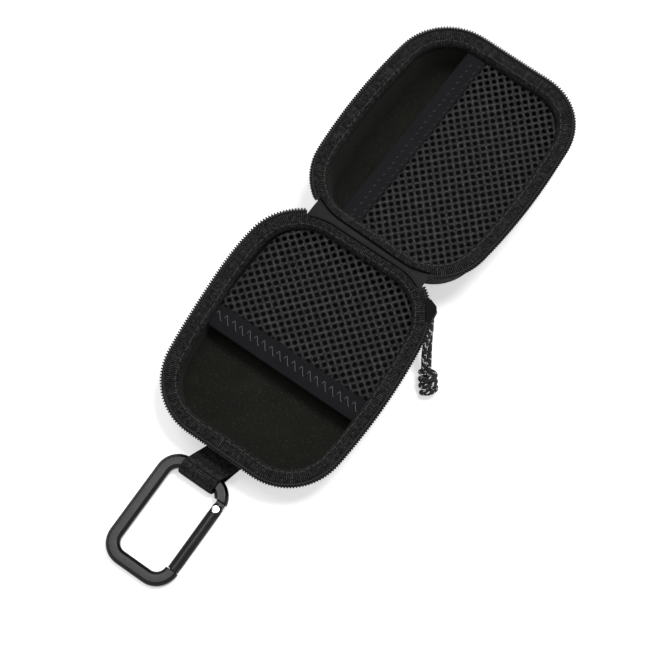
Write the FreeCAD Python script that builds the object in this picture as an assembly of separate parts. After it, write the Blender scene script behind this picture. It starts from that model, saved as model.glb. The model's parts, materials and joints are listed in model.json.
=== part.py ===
import FreeCAD, Part
import math
import os

from FreeCAD import Placement, Rotation, Vector

# Zip-closed moulded case, lying open, with a clip on a webbing loop.
# Millimetres, Z up. The origin is the middle of the deep half's flat bottom.
# X runs along the hinge, Y from the hinge to the deep half's far end.

# Outline of a moulded half at its rim
shell_width = 79.0
shell_length = 97.0
corner_radius = 22.7
side_bow_radius = 240.0

# Moulded shells
base_depth = 28.0
lid_depth = 17.0
shell_wall = 3.0
shell_draft = 2.0
bottom_fillet = 8.0
lining_thickness = 0.8
ply_gap = 0.05

# Rim binding
binding_reach = 4.7
binding_crown = 2.3
binding_edge_rise = 0.8
binding_skirt = 2.0
binding_wall_gap = 0.2

# Zip
rim_to_midplane = 4.0
tape_thickness = 0.5
tape_skirt = 4.0
tape_rise = 1.6
tape_reach = 1.6
zip_end_angle = 60.0
tooth_pitch = 1.1
tooth_width = 0.6
tooth_root_offset = 1.4
tooth_tip_offset = 2.7
row_core_offset = 0.8
row_height = 0.9

# Hinge
hinge_standoff = 1.4
hinge_skew = 0.8
hinge_strip_end_gap = 0.6
hinge_strip_thickness = 0.6
hinge_strip_rise = 0.8
floor_gap = 0.15

# Pockets
net_thickness = 0.5
net_column_pitch = 6.0
net_row_step = 3.2
net_hole = 2.8
net_hole_sides = 8
net_margin = 1.6
net_edge_gap = 0.1
band_thickness = 1.2
lid_band_front = 39.9
lid_band_width = 9.6
base_band_side = 24.2
base_band_width = 8.8

# Webbing loop
webbing_width = 16.0
webbing_thickness = 1.1
webbing_patch = 5.0
webbing_bar_gap = 0.3
webbing_reach = 10.7
webbing_drift = 3.8

# Carabiner
clip_width = 32.0
clip_length = 50.0
clip_corner = 9.7
clip_bar = 5.6
clip_thickness = 4.6
clip_chamfer = 1.2
gate_width = 4.8
gate_top = 5.0
gate_bottom = 37.2
gate_end_gap = 0.4
gate_inset = 0.25
rivet_drop = 8.5
rivet_pin = 2.0
rivet_head = 2.9
rivet_head_height = 0.35
rivet_gap = 0.08
tongue_thickness = 1.6
tongue_side_gap = 0.3
tongue_width = 3.9
tongue_root = 1.0
nose_tongue_length = 3.0
nose_slot_wall = 0.9
spring_bore = 2.6
spring_length = 7.0
spring_wire = 0.4
spring_turns = 6
plunger_diameter = 2.3
plunger_length = 3.0
plunger_gap = 0.3

# Zip slider and its cord pull
slider_angle = 36.6
slider_length = 8.4
slider_nose = 3.4
slider_tail = 3.0
slider_taper = 2.0
slider_plate = 0.8
slider_gap = 0.3
slider_post_width = 1.0
slider_inner_offset = 0.9
slider_outer_offset = 4.9
bail_offset = 2.9
bail_leg = 1.9
bail_wire = 0.8
bail_cord_gap = 0.2
cord_diameter = 2.2
cord_fold_radius = 2.2
cord_fold_back = 1.9
cord_fold_run = 4.6
pull_lean = 2.0
strand_spread = 2.5
strand_lift = 1.2
knot_start = 22.0
knot_turns = 3
knot_pitch = 2.75
knot_radius = 2.6
knot_tail = 1.2

half_width = shell_width / 2
half_length = shell_length / 2
corner_y = half_length - corner_radius
bow_x = half_width - side_bow_radius
corner_x = bow_x + math.sqrt((side_bow_radius - corner_radius) ** 2 - corner_y ** 2)
bow_angle = math.degrees(math.atan2(corner_y, corner_x - bow_x))
inner_offset = -(shell_wall + ply_gap + lining_thickness)
slope = math.tan(math.radians(shell_draft))

up = Vector(0, 0, 1)


def turned(angle, radius=1.0):
    return Vector(math.cos(math.radians(angle)), math.sin(math.radians(angle)), 0) * radius


def arc(centre, radius, start, end, z=0.0):
    points = [centre + turned(a, radius) + up * z for a in (start, (start + end) / 2, end)]
    return Part.Arc(*points).toShape()


def line(a, b):
    return Part.LineSegment(a, b).toShape()


def outline(offset, z):
    """Rim outline of a half, moved out by offset: bowed sides, round corners, straight ends."""
    side = side_bow_radius + offset
    corner = corner_radius + offset
    end_y = half_length + offset
    right = Vector(bow_x, 0, 0)
    left = Vector(-bow_x, 0, 0)
    quarters = ((1, 1), (-1, 1), (-1, -1), (1, -1))
    corners = [Vector(sx * corner_x, sy * corner_y, 0) for sx, sy in quarters]
    return Part.Wire([
        arc(right, side, -bow_angle, bow_angle, z),
        arc(corners[0], corner, bow_angle, 90, z),
        line(Vector(corner_x, end_y, z), Vector(-corner_x, end_y, z)),
        arc(corners[1], corner, 90, 180 - bow_angle, z),
        arc(left, side, 180 - bow_angle, 180 + bow_angle, z),
        arc(corners[2], corner, 180 + bow_angle, 270, z),
        line(Vector(-corner_x, -end_y, z), Vector(corner_x, -end_y, z)),
        arc(corners[3], corner, 270, 360 - bow_angle, z),
    ])


def zip_stretches(hinge_side):
    """Stretches of the zip's route, as (length, point and outward normal at a share of it)."""
    h = hinge_side
    far = 90.0 * -h
    other_side = 180 - bow_angle

    def round_stretch(centre, radius, start, end):
        length = math.radians(abs(end - start)) * radius

        def at(share):
            normal = turned(start + (end - start) * share)
            return centre + normal * radius, normal
        return length, at, (centre, radius, start, end)

    def far_end():
        def at(share):
            return Vector(corner_x * (1 - 2 * share), -h * half_length, 0), Vector(0, -h, 0)
        return 2 * corner_x, at, None

    right_far = Vector(corner_x, -h * corner_y, 0)
    left_far = Vector(-corner_x, -h * corner_y, 0)
    right_near = Vector(corner_x, h * corner_y, 0)
    left_near = Vector(-corner_x, h * corner_y, 0)
    return [
        round_stretch(right_near, corner_radius, h * zip_end_angle, h * bow_angle),
        round_stretch(Vector(bow_x, 0, 0), side_bow_radius, h * bow_angle, -h * bow_angle),
        round_stretch(right_far, corner_radius, -h * bow_angle, far),
        far_end(),
        round_stretch(left_far, corner_radius, far, -h * other_side),
        round_stretch(Vector(-bow_x, 0, 0), side_bow_radius, -h * other_side, -h * (180 + bow_angle)),
        round_stretch(left_near, corner_radius, -h * (180 + bow_angle), -h * (180 + zip_end_angle)),
    ]


def zip_edges(hinge_side, offset, z):
    edges = []
    for length, at, circle in zip_stretches(hinge_side):
        if circle:
            centre, radius, start, end = circle
            edges.append(arc(centre, radius + offset, start, end, z))
        else:
            points = [at(share)[0] + at(share)[1] * offset + up * z for share in (0, 1)]
            edges.append(line(*points))
    return edges


def zip_point(hinge_side, distance, offset, z):
    """Point at a distance along the zip's route, moved out by offset."""
    stretches = zip_stretches(hinge_side)
    for length, at, circle in stretches[:-1]:
        if distance <= length:
            break
        distance -= length
    else:
        length, at, circle = stretches[-1]
    point, normal = at(distance / length)
    return point + normal * offset + up * z


def sweep(path, profile):
    """Solid swept by a closed profile along a level path."""
    pipe = Part.BRepOffsetAPI.MakePipeShell(path)
    pipe.setBiNormalMode(up)
    pipe.add(profile)
    pipe.build()
    pipe.makeSolid()
    return Part.Solid(pipe.shape())


def profile_wire(origin, outward, corners, crown=None):
    """Closed profile from (offset, height) corners; crown = (index, offset, height) rounds one side."""
    points = [origin + outward * u + up * z for u, z in corners]
    edges = []
    for i, point in enumerate(points):
        following = points[(i + 1) % len(points)]
        if crown and crown[0] == i:
            top = origin + outward * crown[1] + up * crown[2]
            edges.append(Part.Arc(point, top, following).toShape())
        else:
            edges.append(line(point, following))
    return Part.Wire(edges)


def tub(offset, bottom, top, fillet):
    """Drafted, round-bottomed block under the rim outline."""
    run = slope * (top - bottom)
    block = Part.makeLoft([outline(offset - run, bottom), outline(offset, top)], True, True)
    edges = [e for e in block.Edges if e.BoundBox.ZMax < bottom + 1e-6]
    return block.makeFillet(fillet, edges)


def moulded(depth):
    """Foam shell with its laminated facing, and the lining laid inside it."""
    floor = shell_wall + ply_gap
    inside = tub(-shell_wall, shell_wall, depth, bottom_fillet - shell_wall)
    shell = tub(0, 0, depth, bottom_fillet).cut(inside)
    skin = tub(-floor, floor, depth, bottom_fillet - floor)
    hollow_floor = floor + lining_thickness
    hollow = tub(inner_offset, hollow_floor, depth, bottom_fillet - hollow_floor)
    lining = skin.cut(hollow)
    return shell, lining


def binding(depth):
    """Ribbed tape folded over the rim, with a rounded crown and a skirt inside the wall."""
    seat = depth + ply_gap
    skirt_out = inner_offset - binding_wall_gap
    corners = [
        (-ply_gap, seat),
        (-ply_gap, depth + binding_edge_rise),
        (-binding_reach, depth),
        (-binding_reach, depth - binding_skirt),
        (skirt_out, depth - binding_skirt),
        (skirt_out, seat),
    ]
    crown = (1, -binding_reach / 2, depth + binding_crown)
    path = outline(0, 0)
    outward = turned(-bow_angle)
    start = Vector(bow_x, 0, 0) + outward * side_bow_radius
    return sweep(path, profile_wire(start, outward, corners, crown))


def zip_tape(depth, hinge_side):
    """Woven tape: a skirt sewn to the wall, turned out to carry the row of teeth."""
    top = depth + tape_rise
    foot = depth - tape_skirt
    corners = [
        (ply_gap, foot),
        (ply_gap, top + tape_thickness),
        (tape_reach, top + tape_thickness),
        (tape_reach, top),
        (ply_gap + tape_thickness, top),
        (ply_gap + tape_thickness, foot),
    ]
    path = Part.Wire(zip_edges(hinge_side, 0, 0))
    length, at, circle = zip_stretches(hinge_side)[0]
    start, outward = at(0)
    return sweep(path, profile_wire(start, outward, corners))


def zip_row(depth, hinge_side, first_tooth):
    """Row of teeth on its bead, cut as one rack that follows the rim."""
    z = depth + tape_rise + tape_thickness + ply_gap
    total = sum(stretch[0] for stretch in zip_stretches(hinge_side))
    count = int((total - first_tooth - tooth_width / 2) / tooth_pitch) + 1
    rack = [zip_point(hinge_side, 0, tooth_root_offset, z)]
    for i in range(count):
        middle = first_tooth + i * tooth_pitch
        for along, offset in ((-1, tooth_root_offset), (-1, tooth_tip_offset),
                              (1, tooth_tip_offset), (1, tooth_root_offset)):
            rack.append(zip_point(hinge_side, middle + along * tooth_width / 2, offset, z))
    rack.append(zip_point(hinge_side, total, tooth_root_offset, z))
    back = zip_edges(hinge_side, row_core_offset, z)
    back_start = zip_point(hinge_side, 0, row_core_offset, z)
    back_end = zip_point(hinge_side, total, row_core_offset, z)
    edges = list(Part.makePolygon(rack).Edges)
    edges += [line(rack[-1], back_end), line(back_start, rack[0])] + back
    wire = Part.Wire(Part.__sortEdges__(edges))
    print("zip teeth", count, "route length", round(total, 1))
    return Part.Face(wire).extrude(up * row_height)


def inside_outline(x, y, offset):
    """Whether a point lies inside the rim outline moved out by offset."""
    x = abs(x)
    y = abs(y)
    if math.degrees(math.atan2(y, x - bow_x)) <= bow_angle:
        return math.hypot(x - bow_x, y) <= side_bow_radius + offset
    if x > corner_x:
        return math.hypot(x - corner_x, y - corner_y) <= corner_radius + offset
    return y <= half_length + offset


def pocket_offset(thickness):
    """Offset of a pocket's sewn edge, just clear of the lining under the binding."""
    drop = binding_skirt + net_edge_gap + thickness
    return inner_offset - slope * drop - net_edge_gap


def pocket_piece(depth, thickness, low, high, holes=()):
    """Level sheet under the binding, kept between two corners of a box, with holes."""
    offset = pocket_offset(thickness)
    bottom = depth - binding_skirt - net_edge_gap - thickness
    span = Part.makePlane(high[0] - low[0], high[1] - low[1], Vector(low[0], low[1], bottom))
    sheet = Part.Face(outline(offset, bottom)).common(span).Faces[0]
    if holes:
        wires = [Part.makePolygon([Vector(x, y, bottom) for x, y in hole]) for hole in holes]
        sheet = Part.makeFace([sheet.OuterWire] + wires, "Part::FaceMakerCheese")
    return sheet.extrude(up * thickness)


def net(depth, low, high):
    """Knitted net: rows of small holes, every other row set over by half a column."""
    offset = pocket_offset(net_thickness) - net_margin - net_hole / 2
    inset = net_margin + net_hole / 2
    corners = [turned(360 * (k + 0.5) / net_hole_sides, net_hole / 2) for k in range(net_hole_sides)]
    holes = []
    for row in range(int(shell_length / net_row_step) + 1):
        y = -half_length + row * net_row_step
        for column in range(int(shell_width / net_column_pitch) + 2):
            x = -half_width + (column - 0.5 * (row % 2)) * net_column_pitch
            if not (low[0] + inset <= x <= high[0] and low[1] + inset <= y <= high[1]):
                continue
            if inside_outline(x, y, offset):
                holes.append([(x + c.x, y + c.y) for c in corners + corners[:1]])
    print("net holes", len(holes))
    return pocket_piece(depth, net_thickness, low, high, holes)


# Lid's turn from shut to the open pose, in which its front edge is on the floor
closed_height = base_depth + 2 * rim_to_midplane + lid_depth
hinge_point = Vector(0, -half_length - hinge_standoff, base_depth + rim_to_midplane)
hinge_axis = turned(hinge_skew)
front_fillet_y = half_length - slope * (lid_depth - bottom_fillet)
front_fillet_y -= bottom_fillet / math.cos(math.radians(shell_draft))
fillet_reach = hinge_standoff + half_length + front_fillet_y
fillet_height = rim_to_midplane + lid_depth - bottom_fillet
fillet_drop = hinge_point.z - bottom_fillet - floor_gap
lid_tilt = math.degrees(math.asin(fillet_drop / math.hypot(fillet_reach, fillet_height))
                        - math.atan2(fillet_height, fillet_reach))
open_turn = 180 + lid_tilt
shut = Placement(Vector(0, 0, closed_height), Rotation(Vector(1, 0, 0), 180))
lid_rest = Placement(Vector(), Rotation(hinge_axis, open_turn), hinge_point).multiply(shut)


def moved(shape, placement):
    copy = shape.copy()
    copy.Placement = placement.multiply(copy.Placement)
    return copy


def hinge_strip():
    """Cover cloth that runs from one half's back wall to the other's."""
    z = base_depth + hinge_strip_rise
    half_strip = corner_radius * math.cos(math.radians(zip_end_angle)) - hinge_strip_end_gap
    end_angle = math.degrees(math.asin(half_strip / corner_radius))

    def back_point(side, share, hinge_side):
        angle = 90 - end_angle * share
        spot = turned(angle, corner_radius + ply_gap)
        return Vector(side * (corner_x + spot.x), hinge_side * (corner_y + spot.y), 0)

    def back_edges(hinge_side, seat):
        spots = [seat(back_point(side, share, hinge_side))
                 for side, share in ((-1, 1), (-1, 0.5), (-1, 0), (1, 0), (1, 0.5), (1, 1))]
        return spots, [Part.Arc(*spots[:3]).toShape(), line(spots[2], spots[3]),
                       Part.Arc(*spots[3:]).toShape()]

    def base_seat(point):
        return point + up * z

    def lid_seat(point):
        spot = lid_rest.multVec(point + up * (lid_depth + hinge_strip_rise))
        return Vector(spot.x, spot.y, z)

    base_spots, base_edges = back_edges(-1, base_seat)
    lid_spots, lid_edges = back_edges(1, lid_seat)
    ends = [line(base_spots[0], lid_spots[0]), line(base_spots[-1], lid_spots[-1])]
    wire = Part.Wire(Part.__sortEdges__(base_edges + lid_edges + ends))
    return Part.Face(wire).extrude(up * hinge_strip_thickness)


# Level frame at the lid's front edge, in which the clip lies
front_rim = lid_rest.multVec(Vector(0, -half_length, lid_depth))
front = Placement(Vector(front_rim.x, front_rim.y, 0), Rotation(up, 2 * hinge_skew))
inner_corner = clip_corner - clip_bar
past_corner = max(0, webbing_width / 2 - clip_width / 2 + clip_corner)
corner_dip = inner_corner - math.sqrt(inner_corner ** 2 - past_corner ** 2)
bar_reach = max(math.hypot(clip_bar / 2 - clip_chamfer + corner_dip, clip_thickness / 2),
                math.hypot(clip_bar / 2 + corner_dip, clip_thickness / 2 - clip_chamfer))
loop_bore = bar_reach + webbing_bar_gap
loop_radius = loop_bore + webbing_thickness
bar_height = loop_radius + floor_gap
bar_centre = Vector(-webbing_drift, -webbing_reach, bar_height)
clip_end = clip_length - clip_bar / 2 - clip_chamfer
clip_tilt = math.degrees(math.asin((bar_height - clip_thickness / 2 - floor_gap) / clip_end))
clip_rest = front.multiply(Placement(bar_centre, Rotation(Vector(1, 0, 0), clip_tilt)))


def prism(points, width):
    """Profile in the lid's length-and-height plane, spread evenly across its width."""
    face = Part.Face(Part.makePolygon(points + points[:1]))
    return moved(face.extrude(Vector(width, 0, 0)), Placement(Vector(-width / 2, 0, 0), Rotation()))


def webbing_loop():
    """Strap sewn flat to the front wall under the zip tape, doubled round the clip's top bar."""
    doubled = 2 * webbing_thickness

    def wall_point(height, out):
        spot = lid_rest.multVec(Vector(0, -half_length + slope * (lid_depth - height) - out, height))
        spot = front.inverse().multVec(spot)
        return Vector(0, spot.y, spot.z)

    top = lid_depth - tape_skirt - net_edge_gap
    low = top - webbing_patch
    patch = [wall_point(top, ply_gap), wall_point(low, ply_gap),
             wall_point(low, ply_gap + doubled), wall_point(top, ply_gap + doubled)]
    knee = wall_point(low, ply_gap + doubled / 2)
    eye = Vector(0, bar_centre.y, bar_centre.z)
    run = eye - knee
    across = Vector(0, -run.z, run.y).normalize() * (doubled / 2)
    strip = [knee + across, eye + across, eye - across, knee - across]
    wide = webbing_width + 4 * webbing_drift
    side = Vector(-wide / 2, 0, 0)
    along = Vector(1, 0, 0)
    bend = Part.makeCylinder(doubled / 2, wide, knee + side, along)
    ring = Part.makeCylinder(loop_radius, wide, eye + side, along)
    strap = prism(patch, wide).fuse([bend, prism(strip, wide), ring])
    bore = Part.makeCylinder(loop_bore, 2 * wide, eye + side * 2, along)
    right = webbing_width / 2
    plan = [Vector(right, right, 0), Vector(right, knee.y, 0),
            Vector(right - webbing_drift, eye.y + loop_bore, 0),
            Vector(right - webbing_drift, eye.y - 2 * loop_radius, 0)]
    plan += [point - Vector(webbing_width, 0, 0) for point in reversed(plan)]
    trim = Part.Face(Part.makePolygon(plan + plan[:1])).extrude(up * closed_height)
    return moved(strap.cut(bore).common(trim).removeSplitter(), front)


def rounded_box(x0, y0, x1, y1, radius):
    """Level wire of a rectangle with round corners."""
    edges = []
    corners = ((x1, y1, 0), (x0, y1, 90), (x0, y0, 180), (x1, y0, 270))
    previous = None
    first = None
    for x, y, start in corners:
        inward = Vector(-1 if x == x1 else 1, -1 if y == y1 else 1, 0) * radius
        centre = Vector(x, y, 0) + inward
        a = centre + turned(start, radius)
        if previous:
            edges.append(line(previous, a))
        edges.append(arc(centre, radius, start, start + 90))
        first = first or a
        previous = centre + turned(start + 90, radius)
    edges.append(line(previous, first))
    return Part.Wire(edges)


gate_x = clip_width / 2 - gate_inset - gate_width / 2
gate_end = gate_bottom - gate_end_gap
slot_height = tongue_thickness + 2 * tongue_side_gap
slot_floor = rivet_drop + tongue_width / 2 + tongue_side_gap


def carabiner_frame():
    """Flat bent bar with bevelled edges, open at the gate, with a hinge tongue and a nose tongue."""
    right = clip_width / 2
    top = clip_bar / 2
    bottom = top - clip_length
    outer = rounded_box(-right, bottom, right, top, clip_corner)
    inner = rounded_box(-right + clip_bar, bottom + clip_bar, right - clip_bar, top - clip_bar,
                        inner_corner)
    bar = Part.Face(outer).cut(Part.Face(inner)).Faces[0].extrude(up * clip_thickness)
    rims = [e for e in bar.Edges if e.BoundBox.ZLength < 1e-6]
    bar = bar.makeChamfer(clip_chamfer, rims)
    gap = Part.makeBox(2 * clip_bar, gate_bottom - gate_top, 2 * clip_thickness,
                       Vector(right - 1.5 * clip_bar, -gate_bottom, -clip_thickness / 2))
    bar = moved(bar.cut(gap), Placement(Vector(0, 0, -clip_thickness / 2), Rotation()))
    low = -tongue_thickness / 2
    hinge = Part.makeBox(tongue_width, rivet_drop - gate_top + tongue_root, tongue_thickness,
                         Vector(gate_x - tongue_width / 2, -rivet_drop, low))
    hinge_end = Part.makeCylinder(tongue_width / 2, tongue_thickness, Vector(gate_x, -rivet_drop, low))
    nose_left = gate_x - gate_width / 2 + nose_slot_wall + tongue_side_gap
    nose = Part.makeBox(gate_x + tongue_width / 2 - nose_left, nose_tongue_length + tongue_root,
                        tongue_thickness, Vector(nose_left, -gate_bottom - tongue_root, low))
    pin = Part.makeCylinder(rivet_pin / 2 + rivet_gap, clip_thickness,
                            Vector(gate_x, -rivet_drop, -clip_thickness / 2))
    return bar.fuse([hinge, hinge_end, nose]).cut(pin).removeSplitter()


def carabiner_gate():
    """Round gate: forked over the hinge tongue, slotted for the nose, bored for its spring."""
    radius = gate_width / 2
    bar = Part.makeCylinder(radius, gate_end - rivet_drop + radius,
                            Vector(gate_x, -rivet_drop + radius, 0), Vector(0, -1, 0))
    plan = Part.makeBox(gate_width, gate_end - rivet_drop, gate_width,
                        Vector(gate_x - radius, -gate_end, -radius))
    plan = plan.fuse(Part.makeCylinder(radius, gate_width, Vector(gate_x, -rivet_drop, -radius)))
    fork = Part.makeBox(2 * gate_width, slot_floor, slot_height,
                        Vector(gate_x - gate_width, -slot_floor, -slot_height / 2))
    nose_floor = gate_bottom - nose_tongue_length - gate_end_gap
    nose = Part.makeBox(gate_width, gate_bottom - nose_floor, slot_height,
                        Vector(gate_x - radius + nose_slot_wall, -gate_bottom, -slot_height / 2))
    bore = Part.makeCylinder(spring_bore / 2, plunger_length + spring_length,
                             Vector(gate_x, -slot_floor, 0), Vector(0, -1, 0))
    hinge = Vector(gate_x, -rivet_drop, 0)
    pin = Part.makeCylinder(rivet_pin / 2 + rivet_gap, gate_width, hinge - up * radius)
    seat = clip_thickness / 2 - rivet_head_height
    flats = [Part.makeCylinder(rivet_head / 2 + rivet_gap, gate_width, hinge + up * side * seat, up * side)
             for side in (1, -1)]
    return bar.common(plan).cut([fork, nose, bore, pin] + flats).removeSplitter()


def gate_rivet():
    """Steel hinge rivet with a flat head on each face of the gate."""
    seat = clip_thickness / 2 - rivet_head_height + ply_gap
    hinge = Vector(gate_x, -rivet_drop, 0)
    pin = Part.makeCylinder(rivet_pin / 2, 2 * seat, hinge - up * seat)
    heads = [Part.makeCylinder(rivet_head / 2, rivet_head_height, hinge + up * side * seat, up * side)
             for side in (1, -1)]
    return pin.fuse(heads).removeSplitter()


def gate_plunger():
    """Short pin that the spring presses towards the hinge tongue."""
    tip = -(slot_floor + plunger_gap - tongue_side_gap)
    pin = Part.makeCylinder(plunger_diameter / 2, plunger_length, Vector(gate_x, tip, 0), Vector(0, -1, 0))
    return pin.makeChamfer(plunger_gap, [pin.Edges[0]])


def tangent_arc(start, tangent, end):
    """Arc from start along tangent to end."""
    chord = end - start
    side = chord - tangent * chord.dot(tangent)
    side.normalize()
    radius = chord.dot(chord) / (2 * chord.dot(side))
    centre = start + side * radius
    middle = (start - centre) + (end - centre)
    middle.normalize()
    return Part.Arc(start, centre + middle * radius, end).toShape()


def biarc(a, tangent_a, b, tangent_b):
    """Two arcs that join a to b with the given directions."""
    v = b - a
    both = tangent_a + tangent_b
    k = 2 * (1 - tangent_a.dot(tangent_b))
    half = v.dot(both)
    reach = (-half + math.sqrt(half * half + k * v.dot(v))) / k
    joint = (a + tangent_a * reach + b - tangent_b * reach) * 0.5
    through = (b - tangent_b * reach) - (a + tangent_a * reach)
    through.normalize()
    return [tangent_arc(a, tangent_a, joint), tangent_arc(joint, through, b)]


def coil(radius, pitch, turns, wire):
    """Round wire wound about Z, on a biarc for each quarter turn; prints its least gap to itself."""
    quarters = int(4 * turns)

    def at(quarter):
        angle = 90 * quarter
        tangent = turned(angle + 90, radius) + up * (pitch / (2 * math.pi))
        tangent.normalize()
        return turned(angle, radius) + up * (pitch * quarter / 4), tangent

    edges = []
    for quarter in range(quarters):
        edges += biarc(*at(quarter), *at(quarter + 1))
    path = Part.Wire(edges)
    start, tangent = at(0)
    circle = Part.Wire(Part.makeCircle(wire / 2, start, tangent))
    solid = path.makePipeShell([circle], True, False)
    samples = [(q / 8, at(q / 8)[0]) for q in range(8 * quarters + 1)]
    gaps = [(p - r).Length for i, p in samples for j, r in samples if j - i >= 2]
    print("coil least gap", round(min(gaps) - wire, 2) if gaps else "none")
    return solid


def gate_spring():
    """Compression spring behind the plunger."""
    mean = (plunger_diameter - spring_wire) / 2
    start = slot_floor + plunger_gap - tongue_side_gap + plunger_length + spring_wire / 2 + ply_gap
    end = slot_floor + plunger_length + spring_length - spring_wire / 2 - ply_gap
    wound = coil(mean, (end - start) / spring_turns, spring_turns, spring_wire)
    return moved(wound, Placement(Vector(gate_x, -start, 0), Rotation(Vector(1, 0, 0), 90)))


# Zip slider's frame on the lid: X out of the wall, Y along the zip towards the hinge
slider_spot = Vector(corner_x, corner_y, 0) + turned(slider_angle, corner_radius) + up * lid_depth
slider_rest = lid_rest.multiply(Placement(slider_spot, Rotation(up, slider_angle)))
plate_top = tape_rise - slider_gap
plate_bottom = plate_top - slider_plate
bail_radius = cord_diameter / 2 + bail_cord_gap + bail_wire / 2
bail_centre = Vector(bail_offset, 0, plate_bottom - bail_leg)
pull_pivot = bail_centre - up * bail_radius
knot_height = knot_turns * knot_pitch + cord_diameter
pull_length = knot_start + knot_height
knot_outer = knot_radius + cord_diameter / 2


def knot_clearance(angle):
    """Height of the knot's lowest point over the floor, for a slope of the pull."""
    pull = slider_rest.multiply(Placement(pull_pivot, Rotation(Vector(1, 0, 0), angle)))
    ends = [Vector(-pull_lean, -along, -knot_outer) for along in (knot_start, pull_length)]
    return min(pull.multVec(end).z for end in ends)


def resting_slope():
    low = 0.0
    high = 85.0
    for step in range(40):
        middle = (low + high) / 2
        if knot_clearance(middle) > floor_gap:
            low = middle
        else:
            high = middle
    return low


pull_slope = resting_slope()
pull_rest = slider_rest.multiply(Placement(pull_pivot, Rotation(Vector(1, 0, 0), pull_slope)))


def zip_slider():
    """Slider: two plates round the lid's row, a post outside the teeth, and a bail for the cord."""
    half = slider_length / 2
    narrow = slider_outer_offset - slider_taper
    plan = [(slider_inner_offset, -half), (narrow, -half), (slider_outer_offset, slider_nose - half),
            (slider_outer_offset, half - slider_tail), (narrow, half), (slider_inner_offset, half)]
    row_top = tape_rise + tape_thickness + ply_gap + row_height

    def plate(bottom):
        points = [Vector(x, y, bottom) for x, y in plan]
        return Part.Face(Part.makePolygon(points + points[:1])).extrude(up * slider_plate)

    upper = row_top + slider_gap
    post = Part.makeBox(slider_post_width, half, upper - plate_top,
                        Vector(tooth_tip_offset + slider_gap, -half / 2, plate_top))
    wire = bail_wire / 2
    ring = Part.makeTorus(bail_radius, wire, bail_centre, Vector(0, 1, 0))
    keep = Part.makeBox(4 * bail_radius, bail_wire * 2, 2 * bail_radius,
                        bail_centre + Vector(-2 * bail_radius, -bail_wire, -2 * bail_radius))
    legs = [Part.makeCylinder(wire, bail_leg + wire, bail_centre + Vector(side * bail_radius, 0, 0))
            for side in (1, -1)]
    body = plate(plate_bottom).fuse([plate(upper), post, ring.common(keep)] + legs)
    return body.removeSplitter()


# Cord's route, as (sideways, distance from the bail, lift): through the knot, round the bail and back
# to the knot's top. The strands lie one over the other at the bail and side by side at the knot.
half_way = knot_start * 0.5
three_quarters = knot_start * 0.75
outer_strand = pull_lean + strand_spread
cord_route = [
    (-pull_lean, pull_length + knot_tail, 0.0),
    (-pull_lean, knot_start - 1.0, 0.0),
    (-pull_lean * 0.6, half_way, -strand_lift * 0.9),
    (-pull_lean * 0.15, cord_fold_run, -cord_fold_radius),
    (0.0, -cord_fold_back, -cord_fold_radius),
    (0.0, -cord_fold_back, cord_fold_radius),
    (-pull_lean * 0.3, cord_fold_run, cord_fold_radius),
    (-outer_strand * 0.55, half_way, strand_lift),
    (-outer_strand * 0.85, three_quarters, strand_lift * 0.4),
    (-outer_strand, knot_start - ply_gap, 0.0),
]


def rounded_route(points):
    """Runs joined by arcs, each as large as its two runs allow; prints the least radius."""
    edges = []
    radii = []
    last = points[0]
    for before, corner, after in zip(points, points[1:], points[2:]):
        into = corner - before
        out = after - corner
        shorter = 0.45 * min(into.Length, out.Length)
        turn = into.getAngle(out)
        radii.append(shorter / math.tan(turn / 2))
        into.normalize()
        out.normalize()
        a = corner - into * shorter
        b = corner + out * shorter
        edges += [line(last, a), tangent_arc(a, into, b)]
        last = b
    edges.append(line(last, points[-1]))
    print("cord arc radii", [round(r, 1) for r in radii])
    return Part.Wire(edges)


def pull_cord():
    """Braided cord, doubled through the slider's bail."""
    points = [Vector(sideways, -along, lift) for sideways, along, lift in cord_route]
    path = rounded_route(points)
    circle = Part.Wire(Part.makeCircle(cord_diameter / 2, points[0], points[1] - points[0]))
    tube = path.makePipeShell([circle], True, False)
    section = math.pi * cord_diameter ** 2 / 4
    share = tube.Volume / (section * path.Length)
    print("cord length", round(path.Length, 1), "volume share", round(share, 4))
    return tube


def pull_knot():
    """Barrel knot: the cord wound round itself."""
    wound = coil(knot_radius, knot_pitch, knot_turns, cord_diameter)
    top = Vector(-pull_lean, -knot_start - cord_diameter / 2, 0)
    wound = moved(wound, Placement(Vector(), Rotation(up, 180)))
    return moved(wound, Placement(top, Rotation(Vector(1, 0, 0), 90)))


def print_joint(name, frame, point, axis):
    spot = frame.multVec(point)
    direction = frame.Rotation.multVec(axis)
    print(name, [round(v, 3) for v in spot], [round(v, 5) for v in direction])


base_shell, base_lining = moulded(base_depth)
lid_shell, lid_lining = moulded(lid_depth)
base_band_left = -half_width - tooth_tip_offset + base_band_side
base_band_right = base_band_left + base_band_width
lid_band_low = -half_length - tooth_tip_offset + lid_band_front
lid_band_high = lid_band_low + lid_band_width

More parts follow.
